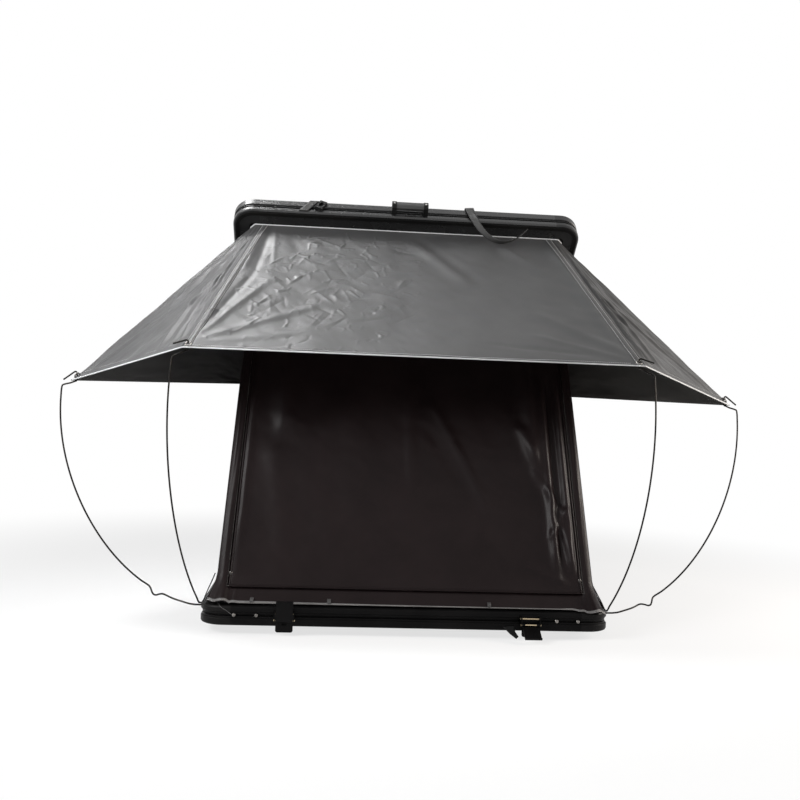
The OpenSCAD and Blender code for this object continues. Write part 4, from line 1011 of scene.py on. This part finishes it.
door_columns, door_rows = np.linspace(-DOOR_SHARE, DOOR_SHARE, 201), np.linspace(DOOR_FOOT, DOOR_HEAD, 181)
s, t = np.meshgrid(door_columns, door_rows, indexing="ij")
door_taut = entry_wall(s, t)
inside = edge_fade((s / DOOR_SHARE + 1) / 2, (t - DOOR_FOOT) / (DOOR_HEAD - DOOR_FOOT),
                   width_s=0.015, width_t=0.03)
door_grid = door_taut + WALL_OUT * (DOOR_LIFT + wall_folds(s, t) * inside)[..., None]
door_grid[..., 1] -= skirt(t * WALL_RISE)
door = sheet_piece("entry_door_cloth", door_grid, wall_cloth, wall_cloth, DOOR_T)
settle(door, "base", "wall_cloth", "entry_door")

# %% Door binding and zip teeth
BINDING_R, BINDING_LIFT, ZIP_OUT, ZIP_LIFT, ZIP_SIDE_X = 0.0030, 0.0006, 0.009, -0.0005, 0.52
rim = np.concatenate([door_grid[0, ::-2], door_grid[2:-2:2, 0], door_grid[-1, ::2]])
binding = tube_piece("door_binding", rim + WALL_OUT * BINDING_LIFT, BINDING_R, wall_cloth, sides=10)
teeth_line = rim + WALL_OUT * ZIP_LIFT
teeth_line[:, 0] += np.where(np.abs(rim[:, 0]) > ZIP_SIDE_X, np.sign(rim[:, 0]) * ZIP_OUT, 0)
zip_teeth = row_piece("door_zip_teeth", [teeth_line], spacing=0.0042, half_width=0.0011, half_length=0.0014,
                      made_of=zip_metal)
wall_soft = [front_wall, door, binding, zip_teeth]
settle(binding, "base", "wall_cloth")
settle(zip_teeth, "base", "steel")
print("zip runs %.2f m" % run_along(teeth_line)[-1])

# %% [markdown]
# ## Side walls
# A side wall is a long triangle between the base rim and the open lid. Its upper edge is worked out on
# the shut lid and carried to the open one. It has a slight belly and slow ripples, which fade out where
# the wall is low.

# %% Side walls and their bindings
SIDE_RUN, SIDE_T, SIDE_BELLY, SIDE_GAP = 1.950, 0.0016, 0.010, 0.001
FOOT_START, HEAD_START, HEAD_SHORTER = 0.004, 0.014, 0.010
LOW_SKIRT, LOW_RIPPLE, CORNER_FORWARD, CORNER_SHARE = 0.3, 0.4, 0.90, 0.025
EDGE_R, EDGE_LIFT = 0.0016, point(0, 0, 0.001)
a, t = np.meshgrid(np.linspace(0, 1, 121), np.linspace(0, 1, 61), indexing="ij")
foot_y = WALL_Y + FOOT_START + a * SIDE_RUN
side_head = on_lid(0, -HALF_L + INSET + HEAD_START + a * (SIDE_RUN - HEAD_SHORTER), WALL_TOP_Z)
y_taut, tall = between(foot_y, side_head[..., 1], t), side_head[..., 2] - WALL_Z
reach = skirt(t * tall) * np.clip(tall / LOW_SKIRT, 0, 1)
x_taut = HALF_W - WALL_IN - SIDE_GAP + (WALL_TOP_X - (HALF_W - WALL_IN)) * t
x_taut += SIDE_BELLY * np.sin(math.pi * t) * np.sin(math.pi * a)
x_taut += reach * (1 + 0.08 * np.sin(a * 170) * ease(a, 0.2, 0.0))
y = y_taut - CORNER_FORWARD * reach * np.clip(1 - a / CORNER_SHARE, 0, 1)
calm = edge_fade(a, t, width_s=0.03, width_t=0.06) * np.clip(tall / LOW_RIPPLE, 0, 1)
for (name, sign), seed in zip(SIDES, (5, 6)):
    ripple = crumple(y_taut, t * tall, seed, longest=0.5, height=0.006) * calm
    grid = np.stack([sign * (x_taut + ripple), y, WALL_Z + tall * t], axis=-1)
    piece = sheet_piece(name + "_wall_cloth", grid, wall_cloth, wall_cloth, SIDE_T, flip=sign < 0)
    settle(piece, "base", "wall_cloth", name + "_wall")
    edge = tube_piece(name + "_wall_binding", grid[:-8:2, 0] + EDGE_LIFT, EDGE_R, hem_grey, sides=8)
    settle(edge, "base", "piping")
    wall_soft += [piece, edge]
    print("%s wall area %.3f" % (name, cloth_area(grid)))

# %% [markdown]
# ## Hem and tabs
# The walls are sewn to a cord that slides into the rim's track. In front of it the wall's skirt ends in a
# pale binding, wide at the corners where the cloth is gathered, and small tabs are sewn on it. The
# binding and tabs are ribbons: a centre line, and half a width as a vector at each of its points.

# %% Hem cord and skirt binding
HEM_CORNER_R, HEM_BEAD_R = 0.035, 0.0019
BINDING_X = (-0.66, -0.58, -0.40, -0.10, 0.52, 0.60, 0.66)
BINDING_HALF = (0.0050, 0.0046, 0.0040, 0.0024, 0.0018, 0.0042, 0.0060)
BINDING_T, BINDING_OFF = 0.0012, point(0, -0.0018, 0.0010)


def ribbon_piece(name, centre, sides, thick, made_of):
    """A flat strap: a centre line, and half its width as a vector at each point."""
    grid = np.array([[c + share * w for c, w in zip(centre, sides)] for share in np.linspace(-1, 1, 7)])
    return sheet_piece(name, grid, made_of, made_of, thick)


hem_x, hem_y, r = HALF_W - WALL_IN, HALF_L - WALL_IN, HEM_CORNER_R
bend = [(hem_x - r + r * math.cos(q), -hem_y + r - r * math.sin(q)) for q in np.linspace(0, math.pi / 2, 7)]
hem_path = [(hem_x, hem_y - r)] + bend + [(-x, y) for x, y in bend[::-1]] + [(-hem_x, hem_y - r)]
hem_line = [point(x, y, HEM_TOP - HEM_D / 2) for x, y in hem_path]
hem_bead = tube_piece("hem_bead", hem_line, HEM_BEAD_R, hem_grey, sides=10)
settle(hem_bead, "base", "piping", "hem_piping")

foot = back_grid[:, 0]
rise = [unit(p) for p in back_grid[:, 3] - foot]
half_tape = [way * half for way, half in zip(rise, np.interp(foot[:, 0], BINDING_X, BINDING_HALF))]
tape_line = [p + half + BINDING_OFF for p, half in zip(foot, half_tape)]
skirt_binding = ribbon_piece("skirt_binding", tape_line, half_tape, BINDING_T, binding_pale)
settle(skirt_binding, "base", "piping")
wall_soft.append(skirt_binding)
print("skirt binding runs %.2f m" % run_along(tape_line)[-1])

# %% Tabs on the skirt
TAB_LONG, TAB_HALF, TAB_T, TAB_BULGE = 0.018, point(0.0060, 0, 0), 0.0018, 0.0012
TAB_OFF, TAB_UP = 0.0030, 0.006
TABS = ((-0.528, 0.10), (-0.268, -0.05), (0.276, 0.04))
tab_heights = np.linspace(0, TAB_LONG, 6)
for place, (tab_x, lean) in enumerate(TABS):
    column = back_grid[int(np.argmin(np.abs(foot[:, 0] - tab_x)))]
    sewn_at = point(tab_x, column[0, 1] - TAB_OFF, column[0, 2] + TAB_UP)
    climb = unit(column[8] - column[0])
    line = [sewn_at + climb * h + point(lean * h, -TAB_BULGE * math.sin(math.pi * h / TAB_LONG), 0)
            for h in tab_heights]
    tab = ribbon_piece("hem_tab_%d" % (place + 1), line, [TAB_HALF] * len(line), TAB_T, tab_grey)
    settle(tab, "base", "piping", *(["hem_tabs"] if place == 0 else []))
    wall_soft.append(tab)
print("tabs:", len(TABS))

# %% [markdown]
# ## Zip pulls and loose webbing
# Each zip has a slider and a hanging pull, both cut from plate. An outline is given a thickness and a
# small bevel, because a sharp metal edge never catches the light. The loose end of webbing under the
# entry edge is one more ribbon, which narrows as it turns away.

# %% Zip sliders and pulls
SLIDER = ((-0.004, 0), (0.004, 0), (0.004, 0.009), (0.0024, 0.014), (-0.0024, 0.014), (-0.004, 0.009))
PULL = ((0.0014, 0.008), (0.0020, -0.006), (0.0026, -0.019), (0.0014, -0.022), (-0.0014, -0.022),
        (-0.0026, -0.019), (-0.0020, -0.006), (-0.0014, 0.008))
ZIP_PARTS = (("slider", SLIDER, 0.0, 0.0026), ("pull", PULL, 0.0030, 0.0012))
SLIDER_AT, SLIDER_LIFT = 0.06, 0.0062


def plate_piece(name, outline, thick, corner, lift, made_of):
    """A flat piece cut to an outline, with rounded edges, set on the entry wall at a corner."""
    n = len(outline)
    points = [corner + point(u, 0, 0) + WALL_UP * v + WALL_OUT * (lift + w)
              for w in (0, thick) for u, v in outline]
    faces = [list(range(n))[::-1], list(range(n, 2 * n))]
    faces += [[i, (i + 1) % n, n + (i + 1) % n, n + i] for i in range(n)]
    piece = mesh_piece(name, points, faces, [made_of], list(outline) * 2)
    soft_edge = piece.modifiers.new("edge", "BEVEL")
    soft_edge.width, soft_edge.segments = thick * 0.3, 2
    return plain(piece)


lift = SLIDER_LIFT + float(skirt(SLIDER_AT * WALL_RISE))
for name, sign in SIDES:
    corner = entry_wall(np.array(sign * DOOR_SHARE), np.array(SLIDER_AT))
    for kind, outline, depth, thick in ZIP_PARTS:
        bit = plate_piece("zip_%s_%s" % (kind, name), outline, thick, corner, lift + depth, zip_metal)
        settle(bit, "base", "steel", *(["zip_sliders"] if (name, kind) == ("right", "slider") else []))
        wall_soft.append(bit)
print("zip sliders stand %.1f mm off the wall" % (1000 * lift))

# %% Loose webbing
TAIL = (((0.341, 0.046), (0.020, 0.002)), ((0.3495, 0.030), (0.0155, -0.002)), ((0.359, 0.020), (0.012, 0)),
        ((0.3675, 0.012), (0.0095, 0)), ((0.371, 0.006), (0.002, 0.002)))
TAIL_T, TAIL_OFF, TAIL_STEP = 0.0018, 0.0026, 0.0004
tail_line = [point(x, -HALF_L - TAIL_OFF - TAIL_STEP * i, z) for i, ((x, z), _) in enumerate(TAIL)]
tail_sides = [point(x, 0, z) for _, (x, z) in TAIL]
tail = ribbon_piece("webbing_tail_end", tail_line, tail_sides, TAIL_T, cord_black)
settle(tail, "base", "webbing", "webbing_tail")
print("webbing tail %.0f mm long" % (1000 * run_along(tail_line)[-1]))

# %% [markdown]
# ## Rods
# Each awning rod is spring steel, bowed by the pull of the cloth. It plugs into the base's corner and
# ends in a hook through the eyelet. A curve with four control points gives the bow, and a smooth line
# joins it to the set bend at the foot and to the hook.

# %% Curves for the rods
HOOK_LOW, HOOK_HIGH = point(0.008, 0, -0.022), point(0.008, 0, 0.013)


def bow(a, b, c, d, steps=22):
    """A curve from a to d that b and c pull outwards."""
    line = []
    for i in range(steps + 1):
        t = i / steps
        line.append((1 - t) ** 3 * a + 3 * (1 - t) ** 2 * t * b + 3 * (1 - t) * t * t * c + t ** 3 * d)
    return line


def hook(start, eye, tip):
    """In under the cloth, up through the eyelet and back out above it."""
    low, high = eye + HOOK_LOW, eye + HOOK_HIGH
    return [start, between(start, eye + [0, 0, HOOK_LOW[2]], 0.5), low, eye + [0.002, 0, -0.020],
            eye + [0, 0, -0.013], eye + [0, 0, 0.006], eye + [0.002, 0, 0.011], high,
            between(high, tip, 0.5), tip]


print("hooks stand %.0f mm above their eyelets" % (1000 * HOOK_HIGH[2]))

# %% Bowed rods with hooked ends
ROD_R, ROD_IN, ROD_Z = 0.003, HALF_W - 0.070, RIM_Z - 0.010
FRONT_FOOT = point(HALF_W, -HALF_L + 0.092, ROD_Z)
SIDE_FOOT = point(HALF_W, -HALF_L + 0.060, ROD_Z)
FRONT_BEND = ((0.004, 0, 0), (0.010, 0, 0.002), (0.014, -0.001, 0.008))
SIDE_BEND = ((0.020, 0, 0), (0.060, 0.010, 0.006), (0.100, 0.028, 0.014), (0.126, 0.046, 0.021),
             (0.137, 0.046, 0.024), (0.146, 0.032, 0.025), (0.152, 0.018, 0.025), (0.160, 0.016, 0.028),
             (0.168, 0.028, 0.034))


def above(corner, x, y, share):
    """A point beside an awning corner, at a share of its height above the rods' feet."""
    return point(corner[0] + x, corner[1] + y, ROD_Z + share * (corner[2] - ROD_Z))


front_rod = [point(ROD_IN, *FRONT_FOOT[1:])] + [FRONT_FOOT + b for b in FRONT_BEND]
front_rod += bow(FRONT_FOOT + [0.017, -0.002, 0.016], above(FRONT, 0.015, -0.005, 0.261),
                 above(FRONT, 0.053, -0.035, 0.644), FRONT + [0.031, -0.007, -0.039])
front_rod += hook(FRONT + [0.025, -0.005, -0.029], front_eye, FRONT + [0.027, -0.007, 0.011])
side_rod = [point(ROD_IN, *SIDE_FOOT[1:])] + [SIDE_FOOT + b for b in SIDE_BEND]
side_rod += bow(SIDE_FOOT + [0.182, 0.052, 0.049], above(OUTER, -0.134, -0.150, 0.215),
                above(OUTER, 0.047, -0.035, 0.597), OUTER + [0.035, 0.008, -0.024])
side_rod += hook(OUTER + [0.027, 0.008, -0.016], outer_eye, OUTER + [0.029, 0.008, 0.002])
for kind, path in (("front", front_rod), ("side", side_rod)):
    for name, sign in SIDES:
        line = smooth_path([p * mirrored(sign) for p in path], steps=3)
        rod = tube_piece("%s_rod_%s_steel" % (kind, name), line, ROD_R, rod_steel)
        node = "rod_%s_%s" % (kind, name)
        settle(rod, "%s_rod_%s" % (kind, name), slot_of[node], node)
    print("%s rod %.2f m long" % (kind, run_along(line)[-1]))

# %% [markdown]
# ## Webbing, tie and corner cords
# Webbing is a flat ribbon with a visible weave, thick enough to hold a curl. The left strap lies on the
# lid's face. The right one hangs free, so its line is a bow and its width turns and narrows along it. The
# thin cords at the corners are held at both ends, so they are short smooth tubes.

# %% Closing straps
STRAP, STRAP_T, STRAP_X, RIGHT_X, HANG_STEPS = 0.018, 0.0018, 0.400, 0.243, 30
LEFT_STRAP = ((0.020, 0.034, LID_TOP + 0.0035), (0.020, 0.006, LID_TOP + 0.0042),
              (0.019, -0.0012, LID_TOP + 0.0012), (0.017, -0.0026, LID_TOP - 0.006),
              (-0.002, -0.0026, LID_Z + 0.040), (-0.024, -0.0026, LID_Z + 0.006))
across = point(STRAP, 0, 0)
left_line = smooth_path([on_lid(-STRAP_X + x, -HALF_L + y, z) for x, y, z in LEFT_STRAP], steps=5)
strap_left = ribbon_piece("strap_left_webbing", left_line, [across] * len(left_line), STRAP_T, strap_weave)
strap_top = on_lid(RIGHT_X, -HALF_L - 0.006, LID_TOP + 0.002)
on_top = [on_lid(RIGHT_X, -HALF_L + 0.036, LID_TOP + 0.0037),
          on_lid(RIGHT_X, -HALF_L + 0.010, LID_TOP + 0.0042)]
hang = bow(strap_top, on_lid(RIGHT_X + 0.005, -HALF_L - 0.040, LID_Z - 0.040),
           on_lid(RIGHT_X + 0.085, -HALF_L + 0.060, LID_Z - 0.190),
           on_lid(RIGHT_X + 0.207, -HALF_L - 0.050, LID_Z - 0.108), HANG_STEPS)
widths = [across] * len(on_top)
for share in np.arange(HANG_STEPS + 1) / HANG_STEPS:
    widths.append(STRAP * (1 - 0.55 * share) * unit([0.8 - 0.5 * share, -0.3 - 0.5 * share, 0.5 * share]))
strap_right = ribbon_piece("strap_right_webbing", on_top + hang, widths, STRAP_T, strap_weave)
settle(strap_left, "lid", "webbing", "strap_left")
settle(strap_right, "lid", "webbing", "strap_right")
strap_runs = [1000 * run_along(line)[-1] for line in (left_line, on_top + hang)]
print("straps %.0f and %.0f mm long" % tuple(strap_runs))

# %% Corner cords and hem tie
GUY = ((-0.008, 0.060, 0.0013), (-0.018, 0.065, 0.030), (-0.034, 0.074, 0.070), (-0.042, 0.082, 0.092))
TIE = ((-0.060, 0.020, 0.0040), (-0.068, 0.005, 0.0026), (-0.074, -0.0022, -0.004), (-0.094, -0.0022, -0.016),
       (-0.110, -0.0008, -0.028))
GUY_R, TIE_R, GUY_TUCK = 0.0019, 0.0009, 0.14
for name, sign, points, tuck, r, made_of, slot, node in (
        ("corner_guy_right", 1, GUY, GUY_TUCK, GUY_R, cord_black, "webbing", ["corner_guys"]),
        ("corner_guy_left", -1, GUY, 0, GUY_R, cord_black, "webbing", []),
        ("hem_tie_left", -1, TIE, 0, TIE_R, hem_grey, "piping", ["hem_ties"])):
    places = [point(sign * (HALF_W + x - tuck * z), -HALF_L + y, RIM_Z + z) for x, y, z in points]
    path = smooth_path(places, steps=5)
    cord = tube_piece(name, path, r, made_of, sides=8)
    settle(cord, "base", slot, *node)
    wall_soft.append(cord)
    print("%s %.0f mm long" % (name, 1000 * run_along(path)[-1]))

# %% [markdown]
# ## Bed and lining
# The foam bed and the padded lid lining are closed forms with a crowned face, sewn in channels. A formula
# gives the crown and the channels, which is quicker than a simulation and the same on each run.

# %% Quilted pads
PAD_COLUMNS, PAD_ROWS, PAD_EDGE, ROW_CHANNELS = 60, 96, 0.35, 1.6


def channel(share, count):
    """One between sewn lines and zero on them."""
    return np.abs(np.sin(math.pi * count * (share + 1) / 2)) ** 0.5


def pad_piece(name, low, high, crown, channels, made_of, turned=None):
    """A quilted slab between two corners: a crowned grid above, a plain one below and a wall round them."""
    nx, ny = PAD_COLUMNS, PAD_ROWS
    u, v = np.meshgrid(np.linspace(-1, 1, nx), np.linspace(-1, 1, ny), indexing="ij")
    rim = np.clip((1 - np.maximum(np.abs(u), np.abs(v))) * 14, 0, 1) ** 0.5
    quilt = channel(u, channels) * channel(v, channels * ROW_CHANNELS)
    middle, half = (np.array(low) + np.array(high)) / 2, (np.array(high) - np.array(low)) / 2
    slab = half[2] * (PAD_EDGE + (1 - PAD_EDGE) * rim)
    pull = 1 - 0.012 * np.cos(math.pi * v / 2) * np.abs(u) ** 8
    x, y = middle[0] + half[0] * u * pull, middle[1] + half[1] * v
    grids = np.stack([np.stack([x, y, middle[2] + slab - crown * (1 - quilt) * rim], axis=-1),
                      np.stack([x, y, middle[2] - slab], axis=-1)])
    if turned:
        grids = turned(*np.moveaxis(grids, -1, 0))
    points = grids.reshape(-1, 3)
    spot = np.arange(2 * nx * ny).reshape(2, nx, ny).tolist()
    upper, lower = spot
    faces = []
    for i in range(nx - 1):
        for j in range(ny - 1):
            faces.append([upper[i][j], upper[i + 1][j], upper[i + 1][j + 1], upper[i][j + 1]])
            faces.append([lower[i][j], lower[i][j + 1], lower[i + 1][j + 1], lower[i + 1][j]])
    ring = [(i, 0) for i in range(nx)] + [(nx - 1, j) for j in range(1, ny)]
    ring += [(i, ny - 1) for i in range(nx - 2, -1, -1)] + [(0, j) for j in range(ny - 2, 0, -1)]
    for (i, j), (m, n) in zip(ring, ring[1:] + ring[:1]):
        faces.append([upper[i][j], lower[i][j], lower[m][n], upper[m][n]])
    return mesh_piece(name, points, faces, [made_of], [(p[0], p[1]) for p in points])


print("pad grid: %d by %d points" % (PAD_COLUMNS, PAD_ROWS))

# %% Bed and lid lining
LINING_X, LINING_Y, LINING_T, LINING_GAP = 0.615, 0.965, 0.012, 0.001
LID_WALL, LID_SKIN = 0.004, 0.002
bed = pad_piece("mattress_pad", *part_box("mattress"), crown=0.006, channels=5, made_of=bed_cover)
settle(bed, "base", "mattress", "mattress")
lining_top = LID_TOP - LID_WALL - LID_SKIN
lining = pad_piece("lid_lining_pad", (-LINING_X, -LINING_Y, lining_top - LINING_T),
                   (LINING_X, LINING_Y, lining_top - LINING_GAP), crown=0.003, channels=6,
                   made_of=lining_cloth, turned=on_lid)
settle(lining, "lid", "lining", "lid_lining")

# %% [markdown]
# ## Soft pieces get meshes of their own
# Rigid pieces follow their joints. Cloth can't, so each soft piece gets a mesh of its own here, and the
# axes of each wing's ridge and fold are worked out; nothing in this script flattens the cloth as the lid
# shuts.

# %% Own meshes for the soft pieces
RIDGE = unit(OUTER - TURN)
FORE_AXIS = unit(FRONT - TURN - RIDGE * np.dot(FRONT - TURN, RIDGE))
for piece in wall_soft:
    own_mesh(piece)
for piece in front_soft:
    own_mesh(piece)
for name, sign in SIDES:
    for part, axis in (("fore", FORE_AXIS), ("rear", FOLD_NORMAL)):
        for piece in wing_soft[name][part]:
            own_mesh(piece)
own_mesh(strap_right)
print("folding pieces: %d of the walls, %d of the front panel" % (len(wall_soft), len(front_soft)))

# %% [markdown]
# ## Studio
# The background is white paper and the light is soft: a wide lamp in front on the left, a warm one on the
# right, a narrow one overhead and an even sky. A white floor would need so much light that the tent turns
# pale. So rays that look at the backdrop see plain white, and light that falls on the tent comes from a
# dimmer one. The floor keeps the tent's shadow close by and turns into plain white further out, so no
# horizon shows.


# %% Lamps
def lamp(name, at, towards, size, power, tint=(1, 1, 1), spread=180):
    light = bpy.data.lights.new(name, "AREA")
    light.size, light.energy, light.color, light.spread = size, power, tint, math.radians(spread)
    made = bpy.data.objects.new(name, light)
    made.location = at
    made.rotation_euler = (Vector(towards) - Vector(at)).to_track_quat("-Z", "Y").to_euler()
    bpy.context.scene.collection.objects.link(made)


lamp("key", at=(-2.5, -2.3, 2.2), towards=(-0.2, -0.8, 1.0), size=1.4, power=85)
lamp("fill", at=(3.3, -1.1, 1.4), towards=(0.8, -0.8, 0.9), size=1.2, power=95, tint=(1.0, 0.92, 0.84))
lamp("sky_panel", at=(-1.8, -0.2, 4.2), towards=(-0.62, -0.78, 1.2), size=1.2, power=12, spread=40)
print("lamps:", len(bpy.data.lights))

# %% Floor
FLOOR_HALF, SHADOW_NEAR, SHADOW_FAR, NEAR_WHITE = 40, 1.4, 3.2, 0.72


def backdrop_rays(tree):
    """One for rays that look at the backdrop, straight, mirrored or through glass, else zero."""
    rays = add(tree, "ShaderNodeLightPath").outputs
    seen = rays["Is Camera Ray"]
    for kind in ("Is Glossy Ray", "Is Transmission Ray"):
        either = add(tree, "ShaderNodeMath", operation="MAXIMUM")
        tree.links.new(seen, either.inputs[0])
        tree.links.new(rays[kind], either.inputs[1])
        seen = either.outputs[0]
    return seen


def mix_shaders(tree, factor, first, second):
    mix = add(tree, "ShaderNodeMixShader", {"Fac": factor})
    tree.links.new(first, mix.inputs[1])
    tree.links.new(second, mix.inputs[2])
    return mix.outputs["Shader"]


paper = bpy.data.materials.new("paper")
paper.use_nodes = True
tree = paper.node_tree
matt = tree.nodes["Principled BSDF"]
matt.inputs["Base Color"].default_value = (0.86, 0.86, 0.86, 1)
matt.inputs["Roughness"].default_value = 0.9
glow = add(tree, "ShaderNodeEmission", strength=1.0)
where = add(tree, "ShaderNodeTexCoord").outputs["Object"]
far = add(tree, "ShaderNodeVectorMath", {"Vector": where}, operation="LENGTH")
white = add(tree, "ShaderNodeMapRange", {"Value": far.outputs["Value"]}, interpolation_type="SMOOTHSTEP",
            from_min=SHADOW_NEAR, from_max=SHADOW_FAR, to_min=NEAR_WHITE, to_max=1.0)
shown = mix_shaders(tree, white.outputs["Result"], matt.outputs["BSDF"], glow.outputs["Emission"])
surface = mix_shaders(tree, backdrop_rays(tree), matt.outputs["BSDF"], shown)
tree.links.new(surface, tree.nodes["Material Output"].inputs["Surface"])
floor_corners = [(x * FLOOR_HALF, y * FLOOR_HALF, 0) for x, y in ((-1, -1), (1, -1), (1, 1), (-1, 1))]
floor = mesh_piece("floor", floor_corners, [[0, 1, 2, 3]], [paper])
print("floor %d m wide" % (2 * FLOOR_HALF))

# %% Sky
SKY_LIGHT = 0.22
sky = bpy.data.worlds.new("studio")
bpy.context.scene.world = sky
sky.use_nodes = True
tree = sky.node_tree
strength = add(tree, "ShaderNodeMapRange", {"Value": backdrop_rays(tree)}, to_min=SKY_LIGHT, to_max=1.0)
tree.links.new(strength.outputs["Result"], tree.nodes["Background"].inputs["Strength"])
tree.nodes["Background"].inputs["Color"].default_value = (1, 1, 1, 1)
print("sky lights the tent at", SKY_LIGHT)
